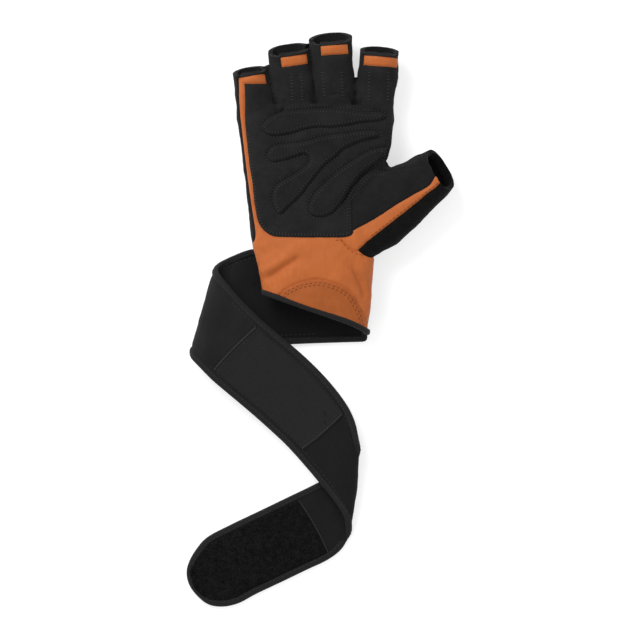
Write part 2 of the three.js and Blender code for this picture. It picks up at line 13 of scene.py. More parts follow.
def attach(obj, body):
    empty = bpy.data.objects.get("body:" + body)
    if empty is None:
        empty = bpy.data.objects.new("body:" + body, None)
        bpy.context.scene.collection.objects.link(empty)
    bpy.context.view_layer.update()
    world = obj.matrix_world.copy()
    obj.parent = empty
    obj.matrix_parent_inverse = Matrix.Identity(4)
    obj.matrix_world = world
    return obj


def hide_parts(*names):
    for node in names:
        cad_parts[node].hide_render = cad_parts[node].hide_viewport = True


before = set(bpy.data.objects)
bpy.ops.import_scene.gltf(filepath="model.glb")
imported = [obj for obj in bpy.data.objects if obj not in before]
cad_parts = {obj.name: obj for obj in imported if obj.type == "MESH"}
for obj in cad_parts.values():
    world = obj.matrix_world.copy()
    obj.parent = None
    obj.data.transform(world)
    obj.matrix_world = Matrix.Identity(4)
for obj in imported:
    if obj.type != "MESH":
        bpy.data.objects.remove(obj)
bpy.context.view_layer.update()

bl_info = {
    "name": "Weightlifting glove",
    "version": (1, 0, 0),
    "blender": (4, 5, 0),
    "location": "View3D > Sidebar > Glove",
    "description": "Builds a fingerless weightlifting glove with a wrist strap",
    "category": "Object",
}

# The glove is drawn in millimetres, with its origin in the middle of the cuff.
MM = 0.001
TO_FRAME = np.array([0.046, 7.989, 0.0])

PALM_WIDTH = 105.0
PALM_LENGTH = 134.0
PALM_THICKNESS = 30.0
FINGER_LENGTH = 42.5
FINGER_WIDTH = 27.5
FINGER_THICKNESS = 19.0
FINGER_SLOPE = math.tan(math.radians(12))
BAND_WIDTH = 7.0
HEM_DEPTH = 6.0
RIM_WIDTH = 0.8
THUMB_LENGTH = 68.0
THUMB_WIDTH = 28.6
THUMB_THICKNESS = 22.0
THUMB_HEADING = math.radians(31.9)
THUMB_ROOT = np.array([21.0, 0.414 * PALM_LENGTH])
THUMB_SLANT = 0.48
THUMB_CROTCH = np.array([44.5, 95.5])
KNUCKLE_LEVEL = 131.0
CUFF_SLOPE = math.tan(math.radians(-19))
CUFF_OFFSET = -4.6
CUFF_BEND = 0.012
CUFF_BEND_START = 18.0
BINDING_WIDTH = 3.2
CLEARANCE = 0.3
STRAP_WIDTH = 48.0
STRAP_REACH = 197.0
STRAP_SPREAD = 114.0
FOLD_HEIGHT = 17.0
HEM_WIDTH = 4.0
HEM_THICKNESS = 3.6
WRIST_LIFT = HEM_THICKNESS + 0.8 + 1.6 * CLEARANCE
REST_FLAT = 1.2
CLOTH_INSET = 1.6
GRIP_INSET = 6.2
HOOK_INSET = 4.4
TAB_BULGE = 1.4

# Between two fingers, a place goes to the nearer one, and sooner to the little finger.
BETWEEN_FINGERS = 7.0
LITTLE_FINGER_SHARE = 1.2
RIM_SIDE = 10.4

# At its lower bend the strap bows outwards, by its middle's height and over so many rows.
BOW = 2.4
BOW_ROW = 18.0
BOW_ROWS = 0.9

# Sections of the palm: share of its length, left, right, crown, widest level, rise of the back.
PALM_ROWS = np.array([
    (-0.25, -0.325, 0.297, 0.97, 0.57, 1.0),
    (-0.06, -0.345, 0.31, 1.0, 0.57, 1.0),
    (0.089, -0.362, 0.327, 1.03, 0.57, 1.0),
    (0.2, -0.386, 0.34, 1.04, 0.55, 1.0),
    (0.31, -0.42, 0.355, 1.02, 0.52, 0.95),
    (0.42, -0.44, 0.375, 0.99, 0.48, 0.0),
    (0.56, -0.462, 0.4, 0.96, 0.46, 0.0),
    (0.7, -0.484, 0.428, 0.94, 0.45, 0.0),
    (0.84, -0.508, 0.455, 0.9, 0.44, 0.0),
    (0.94, -0.53, 0.47, 0.84, 0.43, 0.0),
    (1.0, -0.527, 0.466, 0.74, 0.42, 0.55),
])

# Fingers: root place, reach, widths at root and tip, lean, slant of the opening,
# and how far the leather band runs to both sides.
FINGERS = [
    {"name": "little", "x": -0.397, "y": 0.966, "reach": 0.632, "root": 1.0, "tip": 0.83,
     "lean": -9.9, "slant": 0.3, "band": None},
    {"name": "ring", "x": -0.151, "y": 0.985, "reach": 0.896, "root": 1.0, "tip": 1.02,
     "lean": -8.3, "slant": 0.41, "band": (-5.5, 12.9)},
    {"name": "middle", "x": 0.099, "y": 1.005, "reach": 1.0, "root": 0.965, "tip": 1.005,
     "lean": -4.5, "slant": 0.41, "band": (-7.4, 11.6)},
    {"name": "index", "x": 0.349, "y": 1.0, "reach": 0.826, "root": 0.955, "tip": 0.965,
     "lean": 4.3, "slant": 0.33, "band": (-10.7, 13.1)},
]

# Sections of the thumb: share of its length, middle, half width, height of its axis, half height.
THUMB_ROWS = np.array([
    (-0.19, -0.138, 0.64, 0.46, 0.46),
    (0.04, -0.138, 0.783, 0.47, 0.56),
    (0.175, -0.119, 0.811, 0.5, 0.6),
    (0.37, -0.102, 0.793, 0.55, 0.6),
    (0.583, -0.072, 0.718, 0.61, 0.58),
    (0.718, -0.06, 0.654, 0.65, 0.55),
    (0.874, -0.047, 0.588, 0.69, 0.52),
    (1.0, -0.016, 0.504, 0.72, 0.48),
])

# Edges of the panels, seen from above.
SUEDE_EDGE = [
    (-0.478, 1.1), (-0.474, 1.027), (-0.475, 0.956), (-0.47, 0.867), (-0.455, 0.749),
    (-0.429, 0.601), (-0.41, 0.483), (-0.384, 0.412), (-0.346, 0.376), (-0.302, 0.355),
    (-0.233, 0.349), (-0.006, 0.346), (0.145, 0.347), (0.18, 0.352), (0.2, 0.36),
]
THUMB_SEAM = [
    (0.208, 0.369), (0.204, 0.458), (0.201, 0.547), (0.22, 0.601), (0.258, 0.645),
    (0.321, 0.675), (0.421, 0.677),
]
SUEDE_BEYOND = [(0.62, 0.7), (0.62, 1.5), (-0.34, 1.5), (-0.3, 1.1)]
SIDE_SEAM = [
    (-0.519, 1.25), (-0.518, 1.17), (-0.517, 1.144), (-0.515, 1.074), (-0.513, 1.0),
    (-0.504, 0.921), (-0.493, 0.842), (-0.48, 0.754), (-0.465, 0.659), (-0.449, 0.566),
    (-0.431, 0.474), (-0.417, 0.404), (-0.411, 0.36), (-0.42, 0.33), (-0.46, 0.305),
]
GUSSET_SEAM = [(0.126, 0.345), (0.151, 0.323), (0.191, 0.292), (0.233, 0.276)]
TOWEL_SEAM = [(0.277, 0.26), (0.314, 0.249), (0.358, 0.246)]
STRIP_INNER = [
    (0.93, -0.09), (0.848, -0.189), (0.77, -0.205), (0.638, -0.184), (0.457, -0.176),
    (0.272, -0.185), (0.119, -0.176), (-0.032, -0.156), (-0.095, -0.186), (-0.169, -0.12),
]
STRIP_OUTER = [
    (0.96, -0.27), (0.877, -0.32), (0.783, -0.332), (0.641, -0.383), (0.465, -0.427),
    (0.289, -0.47), (0.091, -0.525), (-0.083, -0.594),
]
HEEL_ARC = [
    (-0.267, 0.044), (-0.216, 0.086), (-0.143, 0.115), (-0.069, 0.129), (0.005, 0.133),
    (0.079, 0.118), (0.143, 0.097), (0.199, 0.061), (0.24, 0.01), (0.272, -0.048), (0.283, -0.09),
]
PADS = {
    "knuckle_pad": [
        (-0.327, 0.926), (-0.252, 0.96), (-0.126, 0.972), (0.0, 0.978), (0.157, 0.972),
        (0.283, 0.958), (0.384, 0.958), (0.409, 0.943), (0.371, 0.924), (0.264, 0.914),
        (0.094, 0.892), (-0.044, 0.889), (-0.164, 0.865), (-0.258, 0.85), (-0.333, 0.857),
        (-0.365, 0.892),
    ],
    "bow_pad": [
        (-0.277, 0.798), (-0.113, 0.813), (0.025, 0.842), (0.145, 0.855), (0.245, 0.867),
        (0.34, 0.867), (0.371, 0.847), (0.289, 0.83), (0.22, 0.813), (0.145, 0.783),
        (0.091, 0.744), (0.025, 0.702), (-0.05, 0.631), (-0.126, 0.554), (-0.201, 0.5),
        (-0.252, 0.463), (-0.283, 0.493), (-0.296, 0.547), (-0.277, 0.594), (-0.233, 0.623),
        (-0.173, 0.65), (-0.113, 0.68), (-0.069, 0.714), (-0.069, 0.744), (-0.101, 0.759),
        (-0.145, 0.749), (-0.233, 0.729), (-0.302, 0.722), (-0.33, 0.744), (-0.314, 0.778),
    ],
    "heel_pad": [
        (0.409, 0.783), (0.358, 0.783), (0.302, 0.768), (0.189, 0.714), (0.113, 0.672),
        (0.038, 0.618), (-0.038, 0.554), (-0.066, 0.507), (-0.057, 0.463), (-0.006, 0.451),
        (0.053, 0.461), (0.107, 0.495), (0.138, 0.525), (0.176, 0.576), (0.22, 0.628),
        (0.28, 0.675), (0.355, 0.717), (0.403, 0.754),
    ],
}

# Course of the strap: x, y, turn of the line across it, width, heights of its two edges.
STRAP_ROWS = np.array([
    (0.281, 0.026, 90.0, 1.14, 0, 0), (-0.023, 0.028, 90.0, 1.2, 0, 0),
    (-0.202, 0.032, 90.0, 1.27, 0, 0), (-0.393, 0.034, 87.7, 1.35, 0, 0),
    (-0.558, 0.017, 79.5, 1.31, 0, 0), (-0.639, 0.005, 75.5, 1.27, 0.17, 0.15),
    (-0.671, -0.01, 74.1, 1.25, 0.5, 0.42), (-0.66, -0.029, 73.0, 1.24, 0.84, 0.7),
    (-0.621, -0.055, 72.3, 1.22, 1.0, 0.86), (-0.54, -0.106, 70.2, 1.177, 1.0, 0.86),
    (-0.436, -0.162, 67.8, 1.129, 0.9, 0.76), (-0.324, -0.217, 66.0, 1.115, 0.78, 0.64),
    (-0.197, -0.281, 63.6, 1.107, 0.66, 0.52), (-0.084, -0.344, 62.1, 1.089, 0.57, 0.43),
    (0.012, -0.408, 61.8, 1.072, 0.56, 0.38), (0.082, -0.462, 65.1, 1.062, 0.62, 0.37),
    (0.146, -0.522, 73.1, 1.064, 0.66, 0.39), (0.179, -0.574, 79.1, 1.048, 0.52, 0.36),
    (0.178, -0.612, 83.7, 1.051, 0.3, 0.22), (0.166, -0.645, 87.6, 1.045, 0.08, 0.06),
    (0.116, -0.676, 93.0, 1.067, 0, 0), (0.02, -0.713, 98.2, 1.063, 0, 0),
    (-0.13, -0.755, 104.7, 1.031, 0, 0), (-0.295, -0.801, 107.2, 1.023, 0, 0),
    (-0.451, -0.844, 108.9, 1.018, 0, 0), (-0.566, -0.88, 117.1, 1.004, 0, 0),
    (-0.639, -0.902, 112.9, 0.881, 0, 0), (-0.703, -0.913, 108.4, 0.674, 0, 0),
    (-0.76, -0.906, 102.1, 0.309, 0, 0),
])
LAST_ROW = len(STRAP_ROWS) - 1

# Where the patches start and end on the strap, at its first and at its second edge.
GRIP_START = (9.92, 8.85)
GRIP_END = (14.7, 13.67)
HOOK_START = (21.76, 21.05)
HOOK_END = (27.75, 27.75)

# Creases in the panels: a line, its depth and its half width.
CREASES = [
    ([(45.5, 91.4), (38.9, 92.7), (33.4, 92.1), (26.3, 86.9), (19.9, 78.1), (15.2, 71.0), (12.2, 69.0)],
     1.7, 2.2),
    ([(-38.3, 18.5), (-34.3, 19.8), (-26.4, 24.8), (-17.2, 30.9), (-11.2, 33.7)], 1.9, 2.2),
    ([(-40.5, 22.5), (-35.0, 25.5), (-28.0, 29.5), (-20.0, 35.0)], -1.2, 2.8),
    ([(19.8, 30.4), (23.8, 23.1), (28.0, 14.1), (30.0, 4.0)], 1.7, 2.0),
    ([(13.9, 33.0), (21.1, 25.7)], 0.5, 1.6),
    ([(25.5, 29.0), (29.0, 20.0), (32.0, 10.0)], -1.0, 2.4),
    ([(-38.3, 128.7), (-25.7, 126.1), (-13.2, 128.7), (3.3, 132.0), (19.8, 133.3), (36.3, 130.0),
      (47.5, 125.4)], 0.8, 2.4),
    ([(5.3, 139.9), (9.2, 140.4), (13.2, 140.2)], 1.6, 0.9),
    ([(-29.8, 137.0), (-28.6, 131.0), (-26.4, 128.2), (-24.2, 131.0), (-23.6, 136.0)], 1.8, 1.1),
    ([(-6.4, 139.6), (-5.0, 136.0), (-2.6, 135.2), (-0.6, 137.4)], 1.3, 1.1),
    ([(20.6, 140.0), (23.6, 134.6), (26.6, 135.4), (27.6, 139.4)], 1.8, 1.1),
    ([(-50.2, 129.4), (-48.8, 120.8), (-46.2, 110.9)], 0.5, 2.0),
]

workshop = {}


class GloveSizes(bpy.types.PropertyGroup):
    """Sizes of the sewn pieces."""

    grain: bpy.props.FloatProperty(
        name="Mesh grain", description="Size of the faces of the leather and cloth",
        default=0.001, unit="LENGTH")
    wall: bpy.props.FloatProperty(
        name="Wall", description="Thickness of the leather and cloth", default=0.0018, unit="LENGTH")
    seam_depth: bpy.props.FloatProperty(
        name="Seam depth", description="How far the seams pull in", default=0.0008, unit="LENGTH")
    pad_height: bpy.props.FloatProperty(
        name="Pad height", description="Rise of the palm pads", default=0.0022, unit="LENGTH")
    patch_height: bpy.props.FloatProperty(
        name="Heel patch", description="Thickness of the heel patch", default=0.0012, unit="LENGTH")
    stitch: bpy.props.FloatProperty(
        name="Stitch", description="Length of one stitch", default=0.002, unit="LENGTH")
    thread: bpy.props.FloatProperty(
        name="Thread", description="Thickness of the thread", default=0.00045, unit="LENGTH")
    strap: bpy.props.FloatProperty(
        name="Strap", description="Thickness of the wrist strap", default=0.003, unit="LENGTH")


class GloveColours(bpy.types.PropertyGroup):
    """Colours of the glove."""

    suede: bpy.props.FloatVectorProperty(
        name="Suede", description="Palm and pads", subtype="COLOR", default=(0.0108, 0.0108, 0.0112))
    leather: bpy.props.FloatVectorProperty(
        name="Leather", description="Base, bands and thumb strip", subtype="COLOR",
        default=(0.43, 0.108, 0.0215))
    knit: bpy.props.FloatVectorProperty(
        name="Knit", description="Back of the hand", subtype="COLOR", default=(0.0095, 0.0095, 0.01))
    towel: bpy.props.FloatVectorProperty(
        name="Towelling", description="Back of the thumb", subtype="COLOR", default=(0.0034, 0.0034, 0.0033))
    strap: bpy.props.FloatVectorProperty(
        name="Strap", description="Cloth of the wrist strap", subtype="COLOR",
        default=(0.0098, 0.0098, 0.0102))
    tape: bpy.props.FloatVectorProperty(
        name="Tape", description="Bound edges", subtype="COLOR", default=(0.0085, 0.0085, 0.0094))
    hooks: bpy.props.FloatVectorProperty(
        name="Hooks", description="Hook patch", subtype="COLOR", default=(0.0036, 0.0036, 0.0038))


def sizes():
    return bpy.context.scene.glove_sizes


def colours():
    return bpy.context.scene.glove_colours


# Curves.


def rows_at(rows, at):
    """Values of a table at places along its first column, on a smooth curve."""
    keys, values = rows[:, 0], rows[:, 1:]
    slopes = np.gradient(values, keys, axis=0)
    at = np.clip(np.atleast_1d(at), keys[0], keys[-1])
    i = np.clip(np.searchsorted(keys, at, side="right") - 1, 0, len(keys) - 2)
    step = (keys[i + 1] - keys[i])[:, None]
    t = ((at - keys[i]) / step[:, 0])[:, None]
    start = (1 + 2 * t) * (1 - t) ** 2 * values[i] + t * (1 - t) ** 2 * step * slopes[i]
    end = t * t * (3 - 2 * t) * values[i + 1] + t * t * (t - 1) * step * slopes[i + 1]
    return start + end


def curve_at(points, at):
    """Places on a smooth curve through points; at counts the points."""
    p = np.asarray(points, float)
    p = np.vstack([2 * p[0] - p[1], p, 2 * p[-1] - p[-2]])
    at = np.clip(np.asarray(at, float), 0, len(p) - 3)
    i = np.clip(np.floor(at).astype(int), 0, len(p) - 4)
    t = (at - i)[:, None]
    before, start, end, after = p[i], p[i + 1], p[i + 2], p[i + 3]

    def gap(a, b):
        return np.maximum(np.sqrt(np.linalg.norm(b - a, axis=1, keepdims=True)), 1e-4)

    g0, g1, g2 = gap(before, start), gap(start, end), gap(end, after)
    leave = ((start - before) / g0 - (end - before) / (g0 + g1) + (end - start) / g1) * g1
    arrive = ((end - start) / g1 - (after - start) / (g1 + g2) + (after - end) / g2) * g1
    bend = -3 * start + 3 * end - 2 * leave - arrive
    turn = 2 * start - 2 * end + leave + arrive
    return start + leave * t + bend * t * t + turn * t ** 3


def run_along(points):
    """Length of a line up to each of its points."""
    return np.concatenate([[0], np.cumsum(np.linalg.norm(np.diff(points, axis=0), axis=1))])


def even(points, step, closed=False):
    """Points at even steps along a line."""
    p = np.asarray(points, float)
    if closed:
        p = np.vstack([p, p[:1]])
    length = run_along(p)
    count = max(2, int(round(length[-1] / step)) + 1)
    at = np.linspace(0, length[-1], count)
    if closed:
        at = at[:-1]
    return np.stack([np.interp(at, length, p[:, k]) for k in range(p.shape[1])], axis=1)


def smooth_line(points, step=0.8):
    """Even points on a smooth curve through a few."""
    return even(curve_at(points, np.linspace(0, len(points) - 1, 30 * len(points))), step)


def smooth_loop(points, step=0.8):
    """Even points on a smooth closed curve through a few."""
    p = np.asarray(points, float)
    wide = np.vstack([p[-3:], p, p[:3]])
    dense = curve_at(wide, np.linspace(3, 3 + len(p), 30 * len(p)))
    return even(dense[:-1], step, closed=True)


def smoothstep(value, low, high):
    """A soft step from nought at low to one at high."""
    t = np.clip((value - low) / (high - low), 0, 1)
    return t * t * (3 - 2 * t)


def unit(vectors):
    return vectors / np.maximum(np.linalg.norm(vectors, axis=-1, keepdims=True), 1e-12)


def way_round(loop):
    """The way ahead at each point of a closed line."""
    return unit(np.roll(loop, -1, axis=0) - np.roll(loop, 1, axis=0))


def distance_to(places, line):
    """Distance from places to a line of points, in as many dimensions as it has."""
    best = np.full(len(places), 1e18)
    for a, b in zip(line[:-1], line[1:]):
        run = b - a
        away = places - a
        t = np.clip(away @ run / max(run @ run, 1e-12), 0, 1)
        best = np.minimum(best, ((away - t[:, None] * run) ** 2).sum(axis=1))
    return np.sqrt(best)


def inside_by(places, outline):
    """Distance to a closed outline, positive inside it."""
    x, y = places[:, 0], places[:, 1]
    best = np.full(len(places), 1e18)
    odd = np.zeros(len(places), bool)
    for a, b in zip(outline, np.roll(outline, -1, axis=0)):
        run = b - a
        ax, ay = x - a[0], y - a[1]
        t = np.clip((ax * run[0] + ay * run[1]) / max(run @ run, 1e-12), 0, 1)
        best = np.minimum(best, (ax - t * run[0]) ** 2 + (ay - t * run[1]) ** 2)
        if a[1] != b[1]:
            odd ^= ((a[1] > y) != (b[1] > y)) & (ax < ay * run[0] / run[1])
    return np.where(odd, 1, -1) * np.sqrt(best)


def ripple(places, wavelength, seed, waves=20):
    """Soft uneven noise, about one unit high."""
    chance = np.random.default_rng(seed)
    total = np.zeros(len(places))
    for _ in range(waves):
        heading = unit(chance.normal(size=places.shape[1]))
        speed = 2 * math.pi / (wavelength * chance.uniform(0.7, 1.5))
        total += np.cos(places @ heading * speed + chance.uniform(0, 2 * math.pi))
    return total / math.sqrt(waves / 2)


# Places on the hand.


def palm_place(points):
    """Places of points that are given as shares of the palm's width and length."""
    return np.asarray(points, float) * [PALM_WIDTH, PALM_LENGTH]


def thumb_place(points):
    """Places of points that are given as shares of the thumb's length and width."""
    local = np.asarray(points, float) * [THUMB_LENGTH, THUMB_WIDTH]
    c, s = math.cos(THUMB_HEADING), math.sin(THUMB_HEADING)
    return local @ np.array([[c, s], [-s, c]]) + THUMB_ROOT


def thumb_local(places):
    """How far places lie along the thumb and across it."""
    c, s = math.cos(THUMB_HEADING), math.sin(THUMB_HEADING)
    return (places[:, :2] - THUMB_ROOT) @ np.array([[c, -s], [s, c]])


def finger_axes(finger):
    """A finger's root and the ways along and across it, seen from above."""
    lean = math.radians(finger["lean"])
    ahead = np.array([math.sin(lean), math.cos(lean)])
    aside = np.array([math.cos(lean), -math.sin(lean)])
    return palm_place([(finger["x"], finger["y"])])[0], ahead, aside


def finger_reach(finger):
    return finger["reach"] * FINGER_LENGTH


def finger_local(finger, places):
    """How far places lie along a finger and across it."""
    root, ahead, aside = finger_axes(finger)
    away = places[:, :2] - root
    return away @ ahead, away @ aside


ROOT_LEVEL = PALM_ROWS[-1, 4] * PALM_THICKNESS
PATCH_LEVEL = PALM_ROWS[0, 4] * PALM_THICKNESS


def seam_level(places):
    """Height where the palm's panels meet the back."""
    palm = np.interp(places[:, 1] / PALM_LENGTH, PALM_ROWS[:, 0], PALM_ROWS[:, 4]) * PALM_THICKNESS
    palm = palm + np.maximum(0, places[:, 1] - PALM_LENGTH) * FINGER_SLOPE
    local = thumb_local(places)
    out = local[:, 0] / THUMB_LENGTH
    climb = np.clip((out - 0.175) / (1 - 0.175), 0, 1.2)
    thumb = (0.5 + 0.22 * climb) * PALM_THICKNESS
    beside = 1 - smoothstep(np.abs(local[:, 1]) / THUMB_WIDTH, 0.9, 1.3)
    weight = smoothstep(out, 0.3, 0.6) * beside
    return palm + (thumb - palm) * weight


def past_cuff(places, shift):
    """How far places lie past the cuff's edge, moved up by a shift."""
    beyond = np.maximum(places[:, 0] - CUFF_BEND_START, 0)
    line = CUFF_OFFSET + CUFF_SLOPE * places[:, 0] - CUFF_BEND * beyond ** 2
    return places[:, 1] - line - shift


def past_finger(finger, places):
    """How far places lie past a finger's slanting opening."""
    along, _ = finger_local(finger, places)
    level = ROOT_LEVEL + np.maximum(along, 0) * FINGER_SLOPE
    return along + finger["slant"] * (places[:, 2] - level) - finger_reach(finger)


def past_thumb(places):
    """How far places lie past the thumb's slanting opening."""
    level = THUMB_ROWS[-1, 3] * PALM_THICKNESS
    return thumb_local(places)[:, 0] + THUMB_SLANT * (places[:, 2] - level) - THUMB_LENGTH


def own_finger(places):
    """Which finger each place belongs to, or -1 on the palm and thumb."""
    nearest = np.full(len(places), -1)
    best = np.full(len(places), 1e9)
    for number, finger in enumerate(FINGERS):
        along, across = finger_local(finger, places)
        aside = np.abs(across) - finger["tip"] * FINGER_WIDTH / 2
        if number == 0:
            aside -= LITTLE_FINGER_SHARE
        near = (aside < best) & (along > 0.3 * finger_reach(finger)) & (aside < BETWEEN_FINGERS)
        best = np.where(near, aside, best)
        nearest = np.where(near, number, nearest)
    return nearest


# Rings of the hand.


def ring_shares(sides, bulge):
    """Points round an oval between a circle and a square, on a unit grid."""
    angle = 2 * math.pi * np.arange(sides) / sides
    u = np.sign(np.cos(angle)) * np.abs(np.cos(angle)) ** (2 / bulge)
    v = np.sign(np.sin(angle)) * np.abs(np.sin(angle)) ** (2 / bulge)
    return u, v


def palm_ring(along, u, v):
    """Points round the hand at a share of the palm's length."""
    left, right, top, side, rise = rows_at(PALM_ROWS, along)[0]
    rise = min(max(rise, 0), 1)
    level = side * PALM_THICKNESS
    up = top * PALM_THICKNESS - level
    down = level - (rise * WRIST_LIFT - (1 - rise) * REST_FLAT)
    x = (left + right) / 2 * PALM_WIDTH + u * (right - left) / 2 * PALM_WIDTH
    z = np.maximum(level + v * np.where(v > 0, up, down), 0)
    return np.stack([x, np.full_like(x, along * PALM_LENGTH), z], axis=1)


def palm_rings():
    u, v = ring_shares(96, 2.7)
    return np.array([palm_ring(a, u, v) for a in np.linspace(-0.25, 1.0, 90)])


def finger_rings(finger):
    """Rings of a finger's tube, a little longer than the finger at both its ends."""
    u, v = ring_shares(64, 2.2)
    root, ahead, aside = finger_axes(finger)
    reach = finger_reach(finger)
    rings = []
    for stop in np.linspace(-10, reach + 2, 30):
        share = min(max(stop / reach, 0), 1)
        half = (finger["root"] + (finger["tip"] - finger["root"]) * share) * FINGER_WIDTH / 2
        level = ROOT_LEVEL + max(stop, 0) * FINGER_SLOPE
        along = stop - finger["slant"] * share ** 2 * v * FINGER_THICKNESS / 2
        place = root + along[:, None] * ahead + (u * half)[:, None] * aside
        rings.append(np.column_stack([place, level + v * FINGER_THICKNESS / 2]))
    return np.array(rings)


def thumb_rings():
    """Rings of the thumb's tube, a little longer than the thumb at both its ends."""
    u, v = ring_shares(72, 2.5)
    rings = []
    for along in np.linspace(-0.19, 1 + 6 / THUMB_LENGTH, 50):
        middle, half, lift, depth = rows_at(THUMB_ROWS, along)[0]
        depth *= THUMB_THICKNESS
        slant = THUMB_SLANT * min(max(along, 0), 1) ** 2
        run = along - slant * v * depth / THUMB_LENGTH
        place = thumb_place(np.stack([run, middle + u * half], axis=1))
        rings.append(np.column_stack([place, lift * PALM_THICKNESS + v * depth]))
    return np.array(rings)


# Meshes.


def deselect():
    for thing in bpy.context.selected_objects:
        thing.select_set(False)


def pick(thing):
    deselect()
    thing.select_set(True)
    bpy.context.view_layer.objects.active = thing


def add_mesh(name, points, faces, in_frame=True):
    """A mesh object from points in millimetres."""
    if in_frame:
        points = (np.asarray(points) + TO_FRAME) * MM
        points[:, 2] = np.maximum(points[:, 2], 0)
    mesh = bpy.data.meshes.new(name)
    mesh.from_pydata(np.asarray(points).tolist(), [], [list(face) for face in faces])
    mesh.validate()
    thing = bpy.data.objects.new(name, mesh)
    bpy.context.collection.objects.link(thing)
    pick(thing)
    return thing


def loft_faces(rows, sides, closed=False):
    """Four-sided faces between rings of points."""
    faces = []
    for r in range(rows if closed else rows - 1):
        a, b = r * sides, ((r + 1) % rows) * sides
        for k in range(sides):
            n = (k + 1) % sides
            faces.append((a + k, a + n, b + n, b + k))
    return faces


def faces_outwards(thing):
    pick(thing)
    bpy.ops.object.mode_set(mode="EDIT")
    bpy.ops.mesh.select_all(action="SELECT")
    bpy.ops.mesh.normals_make_consistent(inside=False)
    bpy.ops.object.mode_set(mode="OBJECT")


def add_loft(name, rings, closed=False, in_frame=True, uv=None):
    """A closed body through rings of points; uv gives a place on the cloth for every point."""
    rows, sides = rings.shape[:2]
    faces = loft_faces(rows, sides, closed)
    if not closed:
        faces.append(tuple(range(sides))[::-1])
        faces.append(tuple((rows - 1) * sides + k for k in range(sides)))
    thing = add_mesh(name, rings.reshape(-1, 3), faces, in_frame)
    if uv is not None:
        give_uv(thing, uv.reshape(-1, 2))
    faces_outwards(thing)
    return thing


def give_uv(thing, uv):
    layer = thing.data.uv_layers.new(name="cloth")
    corners = np.empty(len(thing.data.loops), int)
    thing.data.loops.foreach_get("vertex_index", corners)
    layer.data.foreach_set("uv", uv[corners].astype(np.float32).ravel())


def points_of(thing):
    points = np.empty(len(thing.data.vertices) * 3)
    thing.data.vertices.foreach_get("co", points)
    return points.reshape(-1, 3)


def normals_of(thing):
    normals = np.empty(len(thing.data.vertices) * 3)
    thing.data.vertices.foreach_get("normal", normals)
    return normals.reshape(-1, 3)


def move_points(thing, points):
    thing.data.vertices.foreach_set("co", np.asarray(points, float).ravel())
    thing.data.update()


def apply_modifier(thing, kind, **settings):
    pick(thing)
    modifier = thing.modifiers.new(kind.title(), kind)
    for name, value in settings.items():
        setattr(modifier, name, value)
    bpy.ops.object.modifier_apply(modifier=modifier.name)


def dress(thing, material, node=None, angle=50):
    """Gives a finished piece its material and its place in the frame."""
    thing.data.materials.clear()
    thing.data.materials.append(material)
    pick(thing)
    bpy.ops.object.shade_smooth_by_angle(angle=math.radians(angle))
    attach(thing, "root")
    if node:
        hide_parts(node)


# Materials.


class Value:
    """A number that varies over a surface, for writing sums as they are read."""

    def __init__(self, finish, socket):
        self.finish = finish
        self.socket = socket

    def sum(self, operation, first, second):
        return self.finish.node("Math", {"operation": operation}, {0: first, 1: second})

    def __add__(self, other):
        return self.sum("ADD", self, other)

    def __radd__(self, other):
        return self.sum("ADD", other, self)

    def __sub__(self, other):
        return self.sum("SUBTRACT", self, other)

    def __rsub__(self, other):
        return self.sum("SUBTRACT", other, self)

    def __mul__(self, other):
        return self.sum("MULTIPLY", self, other)

    def __rmul__(self, other):
        return self.sum("MULTIPLY", other, self)


class Finish:
    """A material that is made of nodes."""

    def __init__(self, name):
        self.material = bpy.data.materials.new(name)
        self.material.use_nodes = True
        self.tree = self.material.node_tree
        self.shader = next(n for n in self.tree.nodes if n.type == "BSDF_PRINCIPLED")

    def node(self, kind, settings=None, inputs=None, output=0):
        """Adds a node and returns one of its outputs."""
        made = self.tree.nodes.new("ShaderNode" + kind)
        for name, value in (settings or {}).items():
            setattr(made, name, value)
        for name, value in (inputs or {}).items():
            self.feed(made.inputs[name], value)
        return Value(self, made.outputs[output])

    def feed(self, socket, value):
        if isinstance(value, Value):
            self.tree.links.new(value.socket, socket)
        elif socket.type == "RGBA":
            socket.default_value = (*value, 1)
        else:
            socket.default_value = value

    def place(self, scale=(1, 1, 1), turn=0.0, uv=False):
        """Places on the piece, in thousandths of a metre."""
        source = self.node("TexCoord", output="UV" if uv else "Object")
        return self.node("Mapping", {}, {
            "Vector": source, "Scale": tuple(1000 * s for s in scale), "Rotation": (0, 0, turn)})

    def noise(self, place, size, detail=3.0, roughness=0.55):
        return self.node("TexNoise", {}, {
            "Vector": place, "Scale": 1 / size, "Detail": detail, "Roughness": roughness})

    def cells(self, place, size):
        return self.node("TexVoronoi", {}, {"Vector": place, "Scale": 1 / size})

    def stripes(self, place, size, direction, distortion):
        """Soft stripes, one to each size."""
        return self.node("TexWave", {"bands_direction": direction}, {
            "Vector": place, "Scale": 0.314 / size, "Distortion": distortion, "Detail": 1.0})

    def spread(self, value, low, high, first=0.0, last=1.0):
        """Turns a range of numbers into another one, and holds them in it."""
        return self.node("MapRange", {}, {0: value, 1: low, 2: high, 3: first, 4: last})

    def blend(self, share, first, second):
        """A colour between two others."""
        return self.node("Mix", {"data_type": "RGBA"}, {0: share, 6: first, 7: second}, 2)

    def finish(self, colour, roughness, height, depth, sheen, specular):
        """Joins colour, roughness and relief to the shader; depth is in metres."""
        self.feed(self.shader.inputs["Base Color"], colour)
        self.feed(self.shader.inputs["Roughness"], roughness)
        bump = self.node("Bump", {}, {"Height": height, "Distance": depth})
        self.feed(self.shader.inputs["Normal"], bump)
        self.shader.inputs["Sheen Weight"].default_value = sheen
        self.shader.inputs["Sheen Roughness"].default_value = 0.6
        self.shader.inputs["Specular IOR Level"].default_value = specular
        return self.material


